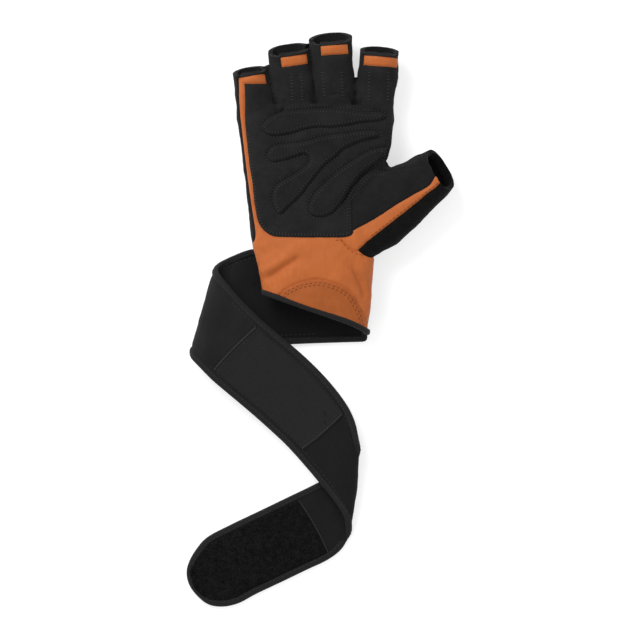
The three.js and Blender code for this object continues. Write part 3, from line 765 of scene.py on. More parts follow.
def shade_of(colour, factor):
    """A lighter or darker shade of a colour."""
    return tuple(min(1, channel * factor) for channel in colour)


def suede_finish(name, colour):
    """Napped suede with soft patches where the nap lies another way."""
    finish = Finish(name)
    place = finish.place()
    nap = finish.noise(place, 0.7, 5, 0.7)
    patches = finish.noise(place, 14, 3)
    worn = finish.noise(place, 3.2, 3)
    tone = nap * 0.45 + patches * 0.35 + worn * 0.2
    tone = finish.spread(tone, 0.36, 0.64)
    skin = finish.blend(tone, shade_of(colour, 0.55), shade_of(colour, 1.5))
    return finish.finish(skin, 0.86 + worn * 0.1, nap * 0.7 + worn * 0.3, 0.0006, 0.02, 0.13)


def leather_finish(name, colour):
    """Brushed leather with a fine grain and faint creases."""
    finish = Finish(name)
    place = finish.place()
    grain = finish.noise(place, 0.55, 4, 0.6)
    pores = finish.cells(place, 0.9)
    patches = finish.noise(place, 16, 3)
    creases = finish.noise(finish.place((1, 0.35, 1), 0.5), 2.4, 4, 0.62)
    tone = grain * 0.3 + patches * 0.35 + creases * 0.35
    tone = finish.spread(tone, 0.34, 0.66)
    skin = finish.blend(tone, shade_of(colour, 0.86), shade_of(colour, 1.1))
    relief = grain * 0.4 + pores * 0.25 + creases * 0.35
    return finish.finish(skin, 0.56 + grain * 0.16, relief, 0.0004, 0.02, 0.25)


def knit_finish(name, colour):
    """Stretch knit with fine ribs along the hand."""
    finish = Finish(name)
    place = finish.place()
    ribs = finish.stripes(place, 1.1, "X", 0.6)
    loops = finish.stripes(place, 0.8, "Y", 0.6)
    patches = finish.noise(place, 9, 3)
    weave = ribs * 0.6 + loops * 0.4
    tone = weave * 0.6 + patches * 0.4
    skin = finish.blend(tone, shade_of(colour, 0.55), shade_of(colour, 1.45))
    return finish.finish(skin, 0.82 + patches * 0.1, weave, 0.0004, 0.02, 0.15)


def towel_finish(name, colour):
    """Terry towelling: a pile of small loops."""
    finish = Finish(name)
    place = finish.place()
    loops = finish.cells(place, 0.95)
    fuzz = finish.noise(place, 0.5, 4, 0.7)
    patches = finish.noise(place, 5, 3)
    pile = loops * 0.6 + fuzz * 0.4
    tone = finish.spread(fuzz * 0.6 + patches * 0.4, 0.35, 0.65)
    skin = finish.blend(tone, shade_of(colour, 0.4), shade_of(colour, 1.9))
    return finish.finish(skin, 0.95, 1.0 - pile, 0.0009, 0.02, 0.08)


def tape_finish(name, colour):
    """Woven edge tape with fine ribs across it."""
    finish = Finish(name)
    place = finish.place(uv=True)
    ribs = finish.stripes(place, 0.9, "X", 0.2)
    threads = finish.noise(place, 0.5, 3, 0.6)
    patches = finish.noise(place, 12, 2)
    weave = ribs * 0.7 + threads * 0.3
    skin = finish.blend(weave * 0.7 + patches * 0.3, shade_of(colour, 0.65), shade_of(colour, 1.4))
    return finish.finish(skin, 0.66 + threads * 0.2, weave, 0.0003, 0.02, 0.2)


def strap_finish(name, colour):
    """Smooth jersey over foam, with a faint knit, and painted shade that darkens it towards both its ends.
    """
    finish = Finish(name)
    place = finish.place(uv=True)
    ribs = finish.stripes(place, 0.7, "Y", 0.3)
    fuzz = finish.noise(place, 0.6, 4, 0.65)
    patches = finish.noise(place, 18, 3)
    tone = finish.spread(fuzz * 0.45 + patches * 0.55, 0.34, 0.66)
    run = finish.node("SeparateXYZ", {}, {0: place})
    # Painted shade: the colour darkens over the strap's first 95 mm, under the glove, and from 215 mm on
    # towards its other end.
    start = finish.spread(run, 60.0, 95.0)
    end = finish.spread(run, 215.0, 250.0, 1.0, 0.3)
    skin = finish.blend(tone, shade_of(colour, 0.7), shade_of(colour, 1.35))
    skin = finish.blend(start * end, shade_of(colour, 0.5), skin)
    return finish.finish(skin, 0.8 + fuzz * 0.12, ribs * 0.4 + fuzz * 0.6, 0.0003, 0.02, 0.15)


def elastic_finish(name, colour):
    """Woven elastic: fine warp ribs crossed by the weft."""
    finish = Finish(name)
    place = finish.place(uv=True)
    warp = finish.stripes(place, 1.3, "Y", 0.15)
    weft = finish.stripes(place, 1.0, "X", 0.3)
    threads = finish.noise(place, 1.3, 4, 0.7)
    weave = warp * 0.25 + weft * 0.25 + threads * 0.5
    tone = finish.spread(weave, 0.34, 0.66)
    skin = finish.blend(tone, shade_of(colour, 0.35), shade_of(colour, 2.1))
    return finish.finish(skin, 0.72 + threads * 0.15, weave, 0.0006, 0.02, 0.2)


def hook_finish(name, colour):
    """Pile of stiff little hooks, darker in its gaps."""
    finish = Finish(name)
    place = finish.place()
    hooks = finish.cells(place, 1.0)
    fuzz = finish.noise(place, 0.8, 4, 0.75)
    patches = finish.noise(place, 3.5, 4, 0.65)
    tone = finish.spread(fuzz * 0.65 + patches * 0.35, 0.42, 0.6)
    skin = finish.blend(tone, shade_of(colour, 0.25), shade_of(colour, 2.7))
    return finish.finish(skin, 0.9, 1.0 - (hooks * 0.5 + fuzz * 0.5), 0.001, 0.0, 0.1)


def thread_finish(name, colour):
    """Twisted sewing thread."""
    finish = Finish(name)
    place = finish.place()
    twist = finish.noise(place, 0.3, 2)
    skin = finish.blend(twist, shade_of(colour, 0.7), shade_of(colour, 1.3))
    return finish.finish(skin, 0.6, twist, 0.0001, 0.0, 0.25)


# The heel patch is redder than the leather round it, its own tone, and darker, partly its own tone and
# partly painted shade: its shares of red, green and blue.
HEEL_TINT_AND_SHADE = (0.75, 0.72, 0.5)

THREADS = {
    "black_thread": (0.022, 0.022, 0.0225),
    # The lighter thread is a painted highlight for the folds at the edges of the strap's patches.
    "light_thread": (0.042, 0.042, 0.043),
    "orange_thread": (0.12, 0.022, 0.004),
}


def finish_named(name):
    """The material of that name, made when it is first asked for."""
    made = workshop.setdefault("finishes", {})
    if name not in made:
        c = colours()
        # The heel patch's colour: its own redder tone, darkened partly by painted shade.
        heel = tuple(channel * share for channel, share in zip(c.leather, HEEL_TINT_AND_SHADE))
        recipes = {
            "suede": lambda: suede_finish("suede", tuple(c.suede)),
            "pad": lambda: suede_finish("pad_suede", shade_of(c.suede, 0.86)),
            "thumb": lambda: suede_finish("thumb_suede", shade_of(c.suede, 0.78)),
            "leather": lambda: leather_finish("orange_leather", tuple(c.leather)),
            "heel": lambda: leather_finish("heel_leather", heel),
            "knit": lambda: knit_finish("knit", tuple(c.knit)),
            "towel": lambda: towel_finish("towelling", tuple(c.towel)),
            "tape": lambda: tape_finish("binding", tuple(c.tape)),
            "strap": lambda: strap_finish("strap_fabric", tuple(c.strap)),
            "elastic": lambda: elastic_finish("woven_elastic", shade_of(c.strap, 0.85)),
            "hooks": lambda: hook_finish("hook_fabric", tuple(c.hooks)),
            **{thread: lambda t=thread: thread_finish(t, THREADS[t]) for thread in THREADS},
        }
        made[name] = recipes[name]()
    return made[name]


# Cutting the hand into panels.

# The share of an edge within which a cut moves the corner instead of adding one.
NEAR_CORNER = 0.28
# How far from the seams and from the patches' edges the faces are finer.
SEAM_MARGIN = 2.3
PATCH_MARGIN = 2.0
# Half widths of the two hollows that make up a seam, the sharp one and the soft one.
SEAM_HALF_WIDTHS = (0.8, 2.2)
# Depth, inset and half width of the groove round a pad or the heel patch.
PATCH_GROOVE = (0.85, 0.6, 1.1)


def corners_of(mesh):
    """Places of a mesh's corners, in the order of their index."""
    mesh.verts.ensure_lookup_table()
    mesh.verts.index_update()
    return np.array([vert.co[:] for vert in mesh.verts])


def middles_of(mesh):
    return np.array([face.calc_center_median()[:] for face in mesh.faces])


def delete_faces(mesh, gone):
    doomed = [face for face, go in zip(list(mesh.faces), gone) if go]
    bmesh.ops.delete(mesh, geom=doomed, context="FACES")


def cut_along(mesh, field, near=None):
    """Cuts a mesh where a field is nought: corners close by move onto the line, others are added."""
    corners = corners_of(mesh)
    value = field(corners)
    close = near(corners) if near else np.ones(len(corners), bool)
    edges = list(mesh.edges)
    ends = np.array([(edge.verts[0].index, edge.verts[1].index) for edge in edges])
    a, b = ends.T
    crossed = (value[a] * value[b] < 0) & close[a] & close[b]
    share = np.where(crossed, value[a] / np.where(crossed, value[a] - value[b], 1), 0)
    moves = {}
    for i in np.nonzero(crossed)[0]:
        t = share[i]
        if t < NEAR_CORNER and t < moves.get(a[i], (1,))[0]:
            moves[a[i]] = (t, b[i])
        elif t > 1 - NEAR_CORNER and 1 - t < moves.get(b[i], (1,))[0]:
            moves[b[i]] = (1 - t, a[i])
    on_line = {}
    for corner, (t, other) in moves.items():
        mesh.verts[corner].co = corners[corner] + (corners[other] - corners[corner]) * t
        value[corner] = 0
        on_line[mesh.verts[corner]] = True
    for i in np.nonzero(crossed)[0]:
        if value[a[i]] * value[b[i]] < 0:
            t = value[a[i]] / (value[a[i]] - value[b[i]])
            _, vert = bmesh.utils.edge_split(edges[i], edges[i].verts[0], float(t))
            on_line[vert] = True
    faces = dict.fromkeys(face for vert in on_line for face in vert.link_faces)
    for face in faces:
        loop = list(face.verts)
        marks = [k for k, vert in enumerate(loop) if vert in on_line]
        for k in range(len(marks) - 1):
            first, second = marks[k], marks[k + 1]
            if second - first > 1 and not (first == 0 and second == len(loop) - 1):
                bmesh.utils.face_split(face, loop[first], loop[second])
                break


def refine_near(mesh, is_near):
    """Halves the edges of a mesh whose two ends are near."""
    near = is_near(corners_of(mesh))
    edges = [edge for edge in mesh.edges if near[edge.verts[0].index] and near[edge.verts[1].index]]
    bmesh.ops.subdivide_edges(mesh, edges=edges, cuts=1, use_grid_fill=True)


def outlines():
    """Edges of the panels in millimetres, smoothed."""
    if "outlines" not in workshop:
        edge = smooth_line(palm_place(SUEDE_EDGE))
        seam = smooth_line(palm_place(THUMB_SEAM))
        inner = smooth_line(thumb_place(STRIP_INNER))
        front_inner = smooth_line(thumb_place(STRIP_INNER[:-3]))
        outer = smooth_line(thumb_place(STRIP_OUTER))
        gusset = smooth_line(palm_place(GUSSET_SEAM))
        towel = smooth_line(palm_place(TOWEL_SEAM))
        thumb_end = thumb_place([(1.3, -0.24), (1.3, -0.08)])
        workshop["outlines"] = {
            "suede": np.vstack([edge, seam, palm_place(SUEDE_BEYOND)]),
            "front": np.vstack([
                front_inner[::-1], thumb_place([(1.3, -0.08), (1.3, 0.9), (0.55, 0.9)]), seam[::-1]]),
            "strip": np.vstack([inner, gusset, outer[::-1], thumb_end]),
            "towel": np.vstack([
                outer, towel, thumb_place([(0.2, -1.6), (1.4, -1.2), (1.4, -0.24)])]),
            "under": np.vstack([
                palm_place(TOWEL_SEAM[2:]),
                thumb_place([(0.2, -1.6), (1.4, -1.2), (1.4, 1.0), (0.7, 0.9), (0.56, 0.72), (0.33, 0.2)])]),
            "side": np.vstack([
                smooth_line(palm_place(SIDE_SEAM)), palm_place([(-0.75, 0.3), (-0.75, 1.25)])]),
            "heel": np.vstack([
                smooth_line(palm_place(HEEL_ARC)), palm_place([(0.34, -0.3), (-0.4, -0.3), (-0.34, 0.02)])]),
            **{name: smooth_loop(palm_place(points)) for name, points in PADS.items()},
        }
    return workshop["outlines"]


def band_field(number, places):
    """Positive on the leather band of a finger."""
    finger = FINGERS[number]
    along, across = finger_local(finger, places)
    start = finger_reach(finger) - finger["slant"] * FINGER_THICKNESS / 2 - BAND_WIDTH
    low, high = finger["band"]
    level = np.minimum(along - start, start + BAND_WIDTH - RIM_WIDTH - along)
    return np.minimum(level, np.minimum(across - low, high - across))


def rim_field(places):
    """Positive on the narrow dark rim of the little finger and between it and the next one."""
    little = FINGERS[0]
    along, across = finger_local(little, places)
    low = little["slant"] * FINGER_THICKNESS / 2 + RIM_WIDTH
    return np.maximum(along - finger_reach(little) + low, across - RIM_SIDE)


def panel_of(places):
    """The panel at each place of the hand."""
    lines = outlines()
    below = places[:, 2] < seam_level(places)
    names = np.full(len(places), "palm_base", dtype="U16")
    names[inside_by(places, lines["front"]) > 0] = "thumb_front"
    names[inside_by(places, lines["strip"]) > 0] = "thumb_strip"
    names[inside_by(places, lines["suede"]) > 0] = "palm_panel"
    finger = own_finger(places)
    rim = (finger == 0) & (rim_field(places) > 0)
    names[(names == "palm_base") & (rim | (finger > 0))] = "palm_panel"
    for number in (1, 2, 3):
        here = (finger == number) & (band_field(number, places) > 0)
        names[here] = FINGERS[number]["name"] + "_band"
    names[below | (inside_by(places, lines["side"]) > 0)] = "back_panel"
    towel = inside_by(places, lines["towel"]) > 0
    under = (inside_by(places, lines["under"]) > 0) & below
    names[towel | under] = "thumb_back"
    return names


def hand_skin():
    """The whole hand as one even skin, in millimetres."""
    forms = [palm_rings(), thumb_rings(), *map(finger_rings, FINGERS)]
    parts = [add_loft("hand_form", rings, in_frame=False) for rings in forms]
    deselect()
    for part in parts:
        part.select_set(True)
    bpy.context.view_layer.objects.active = parts[0]
    bpy.ops.object.join()
    skin = parts[0]
    skin.data.remesh_voxel_size = sizes().grain / MM
    skin.data.remesh_voxel_adaptivity = 0
    bpy.ops.object.voxel_remesh()
    apply_modifier(skin, "SMOOTH", factor=0.5, iterations=6)
    return skin


def settle_sides(skin):
    """Smooths the hand's two sides, where the outer fingers leave it, and the thumb's crotch."""
    points = points_of(skin)
    ends = np.empty(len(skin.data.edges) * 2, int)
    skin.data.edges.foreach_get("vertices", ends)
    a, b = ends.reshape(-1, 2).T
    count = np.bincount(ends, minlength=len(points))[:, None]
    beside = np.maximum(smoothstep(-points[:, 0], 46, 51), smoothstep(points[:, 0], 41, 46))
    level = 1 - smoothstep(np.abs(points[:, 1] - KNUCKLE_LEVEL), 12, 22)
    crotch = 1 - smoothstep(np.linalg.norm(points[:, :2] - THUMB_CROTCH, axis=1), 3, 6)
    weight = np.maximum(0.6 * beside * level, 0.4 * crotch)[:, None]
    for _ in range(40):
        total = np.zeros_like(points)
        np.add.at(total, a, points[b])
        np.add.at(total, b, points[a])
        points = points + (total / count - points) * weight
    move_points(skin, points)


def crease_depth(places):
    """How far creases and folds push the skin in, seen from above."""
    depth = np.zeros(len(places))
    for line, deep, width in CREASES:
        points = smooth_line(line, 1.5)
        away = distance_to(places[:, :2], points)
        ends = np.minimum(
            np.linalg.norm(places[:, :2] - points[0], axis=1),
            np.linalg.norm(places[:, :2] - points[-1], axis=1))
        fade = 0.25 + 0.75 * smoothstep(ends, 0, 6)
        depth += deep * fade * np.exp(-(away / width) ** 2)
    return depth


def soften(skin):
    """Creases, folds and a soft unevenness."""
    points, normals = points_of(skin), normals_of(skin)
    upper = smoothstep(points[:, 2] - seam_level(points), 0, 4) * smoothstep(normals[:, 2], 0.1, 0.5)
    depth = upper * crease_depth(points)
    wave = 0.32 * ripple(points, 30, 3) + 0.13 * ripple(points, 11, 5)
    wave = wave + 0.05 * ripple(points, 5, 8)
    free = smoothstep(points[:, 2], 0.2, 3)
    moved = points + normals * (wave * free - depth)[:, None]
    moved[:, 2] = np.maximum(moved[:, 2], np.minimum(points[:, 2], 0.0))
    move_points(skin, moved)


def at_thumb(places):
    """Whether places are on the outer part of the thumb."""
    local = thumb_local(places)
    return (local[:, 0] > 0.6 * THUMB_LENGTH) & (np.abs(local[:, 1]) < 0.9 * THUMB_WIDTH)


def opening_depth(places):
    """How far inside a finger or thumb opening each place lies."""
    depth = np.full(len(places), 99.0)
    finger = own_finger(places)
    for number, shape in enumerate(FINGERS):
        depth = np.where(finger == number, -past_finger(shape, places), depth)
    return np.where(at_thumb(places), -past_thumb(places), depth)


def keep_largest(mesh):
    """Deletes every loose part of a mesh but the largest."""
    parts, seen = [], set()
    for start in mesh.faces:
        if start in seen:
            continue
        seen.add(start)
        part = [start]
        for face in part:
            for edge in face.edges:
                for other in edge.link_faces:
                    if other not in seen:
                        seen.add(other)
                        part.append(other)
        parts.append(part)
    parts.sort(key=len)
    doomed = [face for part in parts[:-1] for face in part]
    bmesh.ops.delete(mesh, geom=doomed, context="FACES")


def cut_openings(mesh):
    """Opens the fingers, the thumb and the cuff."""
    for number, finger in enumerate(FINGERS):
        cut_along(mesh, lambda p, f=finger: past_finger(f, p), lambda p, n=number: own_finger(p) == n)

    def before_cuff(places):
        return past_cuff(places, BINDING_WIDTH - 0.6)

    cut_along(mesh, past_thumb, at_thumb)
    cut_along(mesh, before_cuff)
    middles = middles_of(mesh)
    gone = before_cuff(middles) < 0
    gone |= at_thumb(middles) & (past_thumb(middles) > 0)
    finger = own_finger(middles)
    for number, shape in enumerate(FINGERS):
        gone |= (finger == number) & (past_finger(shape, middles) > 0)
    delete_faces(mesh, gone)
    keep_largest(mesh)


def panel_lines():
    """Fields whose zero lines part the panels, and where each one counts."""
    lines = outlines()

    def above(places):
        return places[:, 2] > seam_level(places) - 1

    def off_towel(places):
        return inside_by(places, lines["towel"]) < 1

    fields = [
        (lambda p: inside_by(p, lines["towel"]), None),
        (lambda p: p[:, 2] - seam_level(p), off_towel),
        (lambda p: inside_by(p, lines["under"]), lambda p: p[:, 2] < seam_level(p) + 1),
        (lambda p: inside_by(p, lines["suede"]), above),
        (lambda p: inside_by(p, lines["side"]), above),
        (lambda p: inside_by(p, lines["strip"]), above),
        (lambda p: inside_by(p, lines["front"]), above),
        (rim_field, lambda p: (own_finger(p) == 0) & above(p)),
    ]
    for number in (1, 2, 3):
        fields.append((
            lambda p, n=number: band_field(n, p),
            lambda p, n=number: (own_finger(p) == n) & above(p)))
    return fields


def split_panels(mesh):
    """The panel of every face, after the mesh is cut along the seams."""
    fields = panel_lines()

    def near_seam(places):
        near = np.zeros(len(places), bool)
        for field, where in fields:
            close = np.abs(field(places)) < SEAM_MARGIN
            near |= close & where(places) if where else close
        for name in (*PADS, "heel"):
            edge = np.abs(inside_by(places, outlines()[name])) < PATCH_MARGIN
            near |= edge & (places[:, 2] > PATCH_LEVEL)
        return near

    refine_near(mesh, near_seam)
    for field, where in fields:
        cut_along(mesh, field, where)
    return panel_of(middles_of(mesh))


def sink_seams(mesh, names):
    """Pulls the panels in along their seams and round the pads."""
    mesh.faces.index_update()
    mesh.normal_update()
    corners = corners_of(mesh)
    on_seam = set()
    for edge in mesh.edges:
        if len(edge.link_faces) == 2:
            first, second = edge.link_faces
            if names[first.index] != names[second.index]:
                on_seam.update(edge.verts)
    tree = KDTree(len(on_seam))
    for i, vert in enumerate(on_seam):
        tree.insert(vert.co, i)
    tree.balance()
    away = np.array([tree.find(vert.co)[2] for vert in mesh.verts])
    deep = sizes().seam_depth / MM
    sharp, soft = SEAM_HALF_WIDTHS
    depth = deep * np.exp(-(away / sharp) ** 2) + 0.35 * deep * np.exp(-(away / soft) ** 2)
    top = corners[:, 2] > PATCH_LEVEL
    groove, inset, half_width = PATCH_GROOVE
    for name in (*PADS, "heel"):
        edge = inside_by(corners, outlines()[name])
        depth += np.where(top, groove * np.exp(-((edge + inset) / half_width) ** 2), 0)
    for vert, normal, sink in zip(mesh.verts, [v.normal.copy() for v in mesh.verts], depth):
        vert.co -= normal * float(sink)


def take_faces(chosen):
    """Points of some faces of a mesh, and the faces as numbers of those points."""
    index, points, faces = {}, [], []
    for face in chosen:
        loop = []
        for vert in face.verts:
            if vert not in index:
                index[vert] = len(points)
                points.append(vert.co[:])
            loop.append(index[vert])
        faces.append(loop)
    return np.array(points), faces


# The hand's panels, each with its finish and its material slot.
HAND_PANELS = {
    "back_panel": ("knit", "knit"),
    "palm_panel": ("suede", "suede"),
    "palm_base": ("leather", "orange_leather"),
    "thumb_strip": ("leather", "orange_leather"),
    "thumb_front": ("thumb", "suede"),
    "thumb_back": ("towel", "towelling"),
    "ring_band": ("leather", "orange_leather"),
    "middle_band": ("leather", "orange_leather"),
    "index_band": ("leather", "orange_leather"),
}

# The share of its full thickness that the wall has away from the openings' hems.
WALL_SHARE = 0.62


class GLOVE_OT_hand(bpy.types.Operator):
    """Build the sewn panels of the hand"""

    bl_idname = "glove.hand"
    bl_label = "Hand panels"

    def execute(self, context):
        skin = hand_skin()
        settle_sides(skin)
        soften(skin)
        mesh = bmesh.new()
        mesh.from_mesh(skin.data)
        cut_openings(mesh)
        names = split_panels(mesh)
        sink_seams(mesh, names)
        workshop["skin"] = mesh
        faces = list(mesh.faces)
        for name, (finish, slot) in HAND_PANELS.items():
            chosen = [face for face, own in zip(faces, names) if own == name]
            if not chosen:
                raise RuntimeError(f"{name} has no faces")
            points, loops = take_faces(chosen)
            panel = add_mesh(name + "_skin", points, loops)
            hem = opening_depth(points) < HEM_DEPTH
            group = panel.vertex_groups.new(name="hem")
            group.add(np.nonzero(hem)[0].tolist(), 1.0, "REPLACE")
            group.add(np.nonzero(~hem)[0].tolist(), WALL_SHARE, "REPLACE")
            apply_modifier(
                panel, "SOLIDIFY", thickness=sizes().wall / WALL_SHARE, offset=-1,
                vertex_group=group.name)
            panel.vertex_groups.clear()
            dress(panel, finish_named(finish), name)
            workshop[name] = panel
        bpy.data.objects.remove(skin)
        return {"FINISHED"}


def palm_patch(outline, level):
    """The part of the skin above a level and inside an outline, with finer faces."""
    mesh = bmesh.new()
    low, high = outline.min(axis=0) - 3, outline.max(axis=0) + 3
    chosen = []
    for face in workshop["skin"].faces:
        middle = face.calc_center_median()
        if low[0] < middle.x < high[0] and low[1] < middle.y < high[1] and middle.z > level:
            chosen.append(face)
    points, loops = take_faces(chosen)
    verts = [mesh.verts.new(point) for point in points]
    for loop in loops:
        mesh.faces.new([verts[k] for k in loop])
    refine_near(mesh, lambda p: inside_by(p, outline) > -1.5)
    cut_along(mesh, lambda p: inside_by(p, outline))
    delete_faces(mesh, inside_by(middles_of(mesh), outline) < 0)
    mesh.normal_update()
    mesh.verts.index_update()
    return mesh


def raised_patch(name, outline, level, rise, round_by, keep=None):
    """A closed patch on the skin, rounded along its edge."""
    mesh = palm_patch(outline, level)
    if keep:
        cut_along(mesh, keep)
        delete_faces(mesh, keep(middles_of(mesh)) < 0)
        mesh.normal_update()
    points, loops = take_faces(mesh.faces)
    source = add_mesh("patch_form", points, loops, in_frame=False)
    normals = normals_of(source)
    inset = inside_by(points, outline)
    if keep:
        inset = np.minimum(inset, keep(points))
    share = np.clip(inset / round_by, 0, 1)
    height = rise * np.sqrt(np.clip(1 - (1 - share) ** 2, 0, 1))
    low = points - normals * 0.9
    high = points + normals * (height - 0.15)[:, None]
    bpy.data.objects.remove(source)
    count = len(points)
    rim = [edge for edge in mesh.edges if len(edge.link_faces) == 1]
    index = {}
    for face in mesh.faces:
        for vert in face.verts:
            index.setdefault(vert, len(index))
    faces = loops + [[k + count for k in loop[::-1]] for loop in loops]
    for edge in rim:
        a, b = (index[vert] for vert in edge.verts)
        faces.append([a, b, b + count, a + count])
    patch = add_mesh(name, np.vstack([high, low]), faces)
    faces_outwards(patch)
    mesh.free()
    return patch


class GLOVE_OT_pads(bpy.types.Operator):
    """Sew the three padded shapes onto the palm"""

    bl_idname = "glove.pads"
    bl_label = "Palm pads"

    def execute(self, context):
        for name in PADS:
            rise = sizes().pad_height / MM
            pad = raised_patch(name + "_cover", outlines()[name], ROOT_LEVEL, rise, 3.4)
            dress(pad, finish_named("pad"), name)
            workshop[name] = pad
        return {"FINISHED"}


class GLOVE_OT_heel_patch(bpy.types.Operator):
    """Lay the rounded patch on the heel of the hand"""

    bl_idname = "glove.heel_patch"
    bl_label = "Heel patch"

    def execute(self, context):
        rise = sizes().patch_height / MM

        def keep(places):
            return past_cuff(places, BINDING_WIDTH - 0.4)

        patch = raised_patch("heel_patch_cover", outlines()["heel"], PATCH_LEVEL, rise, 1.3, keep)
        dress(patch, finish_named("heel"), "heel_patch")
        workshop["heel_patch"] = patch
        return {"FINISHED"}


def sweep(name, path, inward, outward, profile):
    """A closed band along a closed path; the profile is given inwards and outwards."""
    profile = np.asarray(profile, float)
    rings = path[:, None] + profile[None, :, :1] * inward[:, None] + profile[None, :, 1:] * outward[:, None]
    run, girth = run_along(path), run_along(profile)
    uv = np.stack(np.broadcast_arrays(run[:, None] * MM, girth[None, :] * MM), axis=-1)
    return add_loft(name, rings, closed=True, uv=uv)


def wrap_smooth(values, width):
    """A running mean round a closed row of values."""
    kernel = np.exp(-0.5 * (np.arange(-3 * width, 3 * width + 1) / width) ** 2)
    kernel /= kernel.sum()
    total = np.zeros_like(values)
    for shift, weight in zip(range(-3 * width, 3 * width + 1), kernel):
        total += weight * np.roll(values, shift, axis=0)
    return total


# Sections of the two tapes, from their inner edge round the bound edge: inwards and outwards.
CUFF_TAPE = [
    (3.9, 0.1), (3.75, 0.62), (3.2, 0.95), (2.0, 1.0), (0.9, 0.85), (0.25, 0.25), (0.0, -0.8),
    (0.25, -1.9), (0.9, -2.45), (2.0, -2.6), (3.2, -2.55), (3.75, -2.2), (3.9, -1.8),
]
HALF_STRAP_TAPE = [
    (4.3, 0.9), (4.25, 1.5), (3.9, 1.76), (3.3, 1.84), (1.9, 1.8), (0.9, 1.55), (0.3, 1.0),
]


class GLOVE_OT_cuff(bpy.types.Operator):
    """Bind the edge of the cuff with tape"""

    bl_idname = "glove.cuff"
    bl_label = "Cuff binding"

    def execute(self, context):
        u, v = ring_shares(240, 2.7)

        def cuff_loop(shift):
            along = np.zeros(len(u))
            for _ in range(30):
                points = np.array([palm_ring(a, u[k:k + 1], v[k:k + 1])[0] for k, a in enumerate(along)])
                along = along - past_cuff(points, shift) / PALM_LENGTH
            return points

        low, high = cuff_loop(0.0), cuff_loop(BINDING_WIDTH)
        path = even(np.hstack([low, high]), 1.0, closed=True)
        low, high = path[:, :3], path[:, 3:]
        into = unit(high - low)
        out = unit(np.cross(into, way_round(low)))
        if ((low - low.mean(axis=0)) * out).sum() < 0:
            out = -out
        binding = sweep("cuff_binding_tape", low, into, wrap_smooth(out, 2), CUFF_TAPE)
        dress(binding, finish_named("tape"), "cuff_binding")
        return {"FINISHED"}


# The strap.


def strap_edges():
    """The rows' ends on the strap's first and second edge."""
    turn = np.radians(STRAP_ROWS[:, 2])
    half = np.stack([np.cos(turn), np.sin(turn)], axis=1) * (STRAP_ROWS[:, 3:4] * STRAP_WIDTH / 2)
    middle = STRAP_ROWS[:, :2] * [STRAP_SPREAD, STRAP_REACH]
    heights = HEM_THICKNESS / 2 + STRAP_ROWS[:, 4:] * FOLD_HEIGHT
    return np.column_stack([middle + half, heights[:, 0]]), np.column_stack([middle - half, heights[:, 1]])


def strap_frame(at):
    """Both edges of the strap, the way across it and the way out of its face."""
    edges = strap_edges()
    sides, ways = [], []
    for edge in edges:
        side = curve_at(edge, at)
        side[:, 2] = np.maximum(side[:, 2], HEM_THICKNESS / 2)
        sides.append(side)
        ways.append(unit(curve_at(edge, at + 0.01) - curve_at(edge, at - 0.01)))
    across = unit(sides[1] - sides[0])
    faces = [unit(np.cross(way, across)) for way in ways]
    return sides[0], sides[1], across, faces[0], faces[1]


def strap_stops(start, end, step):
    """Even steps along the strap."""
    dense = np.linspace(start, end, 2400)
    a, b, _, _, _ = strap_frame(dense)
    run = np.maximum.reduce([
        np.linalg.norm(np.diff(line, axis=0), axis=1) for line in (a, b, (a + b) / 2)])
    length = np.concatenate([[0], np.cumsum(run)])
    count = max(2, int(round(length[-1] / step)))
    return np.interp(np.linspace(0, length[-1], count), length, dense), length[-1]


def strap_places(at, mark, offset):
    """Places on the strap: mark runs across from its first edge, offset out of its face."""
    at, mark, offset = np.broadcast_arrays(at, mark, offset)
    a, b, across, face_a, face_b = strap_frame(at.ravel())
    width = np.linalg.norm(b - a, axis=1, keepdims=True)
    share = mark.reshape(-1, 1) / width
    face = unit(face_a * (1 - share) + face_b * share)
    bow = 4 * BOW * np.exp(-((at.reshape(-1, 1) - BOW_ROW) / BOW_ROWS) ** 2) * share * (1 - share)
    places = a + across * mark.reshape(-1, 1) + face * (offset.reshape(-1, 1) - bow)
    places[:, 2] = np.maximum(places[:, 2], 0)
    return places.reshape(*at.shape, 3)


def strap_slab(name, start, end, inset, top, bottom, step=(1.0, 1.0)):
    """A closed sheet on the strap; top and bottom give its two faces from place and width."""
    stops, length = strap_stops(sum(start) / 2, sum(end) / 2, step[0])
    run = ((stops - stops[0]) / (stops[-1] - stops[0]))[:, None]
    share = np.linspace(0, 1, int((STRAP_WIDTH - 2 * inset) / step[1]))
    first = start[0] + (start[1] - start[0]) * share
    last = end[0] + (end[1] - end[0]) * share
    at = first + (last - first) * run
    a, b, _, _, _ = strap_frame(at.ravel())
    width = np.linalg.norm(b - a, axis=1).reshape(at.shape)
    mark = inset + share * (width - 2 * inset)
    along = np.linspace(0, length, len(stops))[:, None] * np.ones_like(mark)
    faces = [strap_places(at, mark, face(along, mark, width, length)) for face in (top, bottom)]
    rings = np.concatenate([faces[0], faces[1][:, ::-1]], axis=1)
    uv = np.stack([along * MM, mark * MM], axis=-1)
    uv = np.concatenate([uv, uv[:, ::-1]], axis=1)
    return add_loft(name, rings, uv=uv)


def cloth_ripple(run, mark, *kind):
    """Uneven noise over the flat cloth of the strap."""
    flat = np.stack([run.ravel(), mark.ravel()], axis=1)
    return ripple(flat, *kind).reshape(run.shape)


def strap_cover(run, mark, width, length):
    """Height of the strap's outer face over the middle of its thickness."""
    edge = np.minimum(mark, width - mark)
    soft = cloth_ripple(run, mark, 24, 12)
    pucker = cloth_ripple(run, mark, 6, 13)
    pillow = smoothstep(edge, HEM_WIDTH, HEM_WIDTH + 7)
    crease = np.exp(-((edge - 6.3) / 0.9) ** 2)
    return 1.32 + 0.3 * pillow + 0.1 * soft * pillow + 0.06 * pucker * pillow - 0.16 * crease


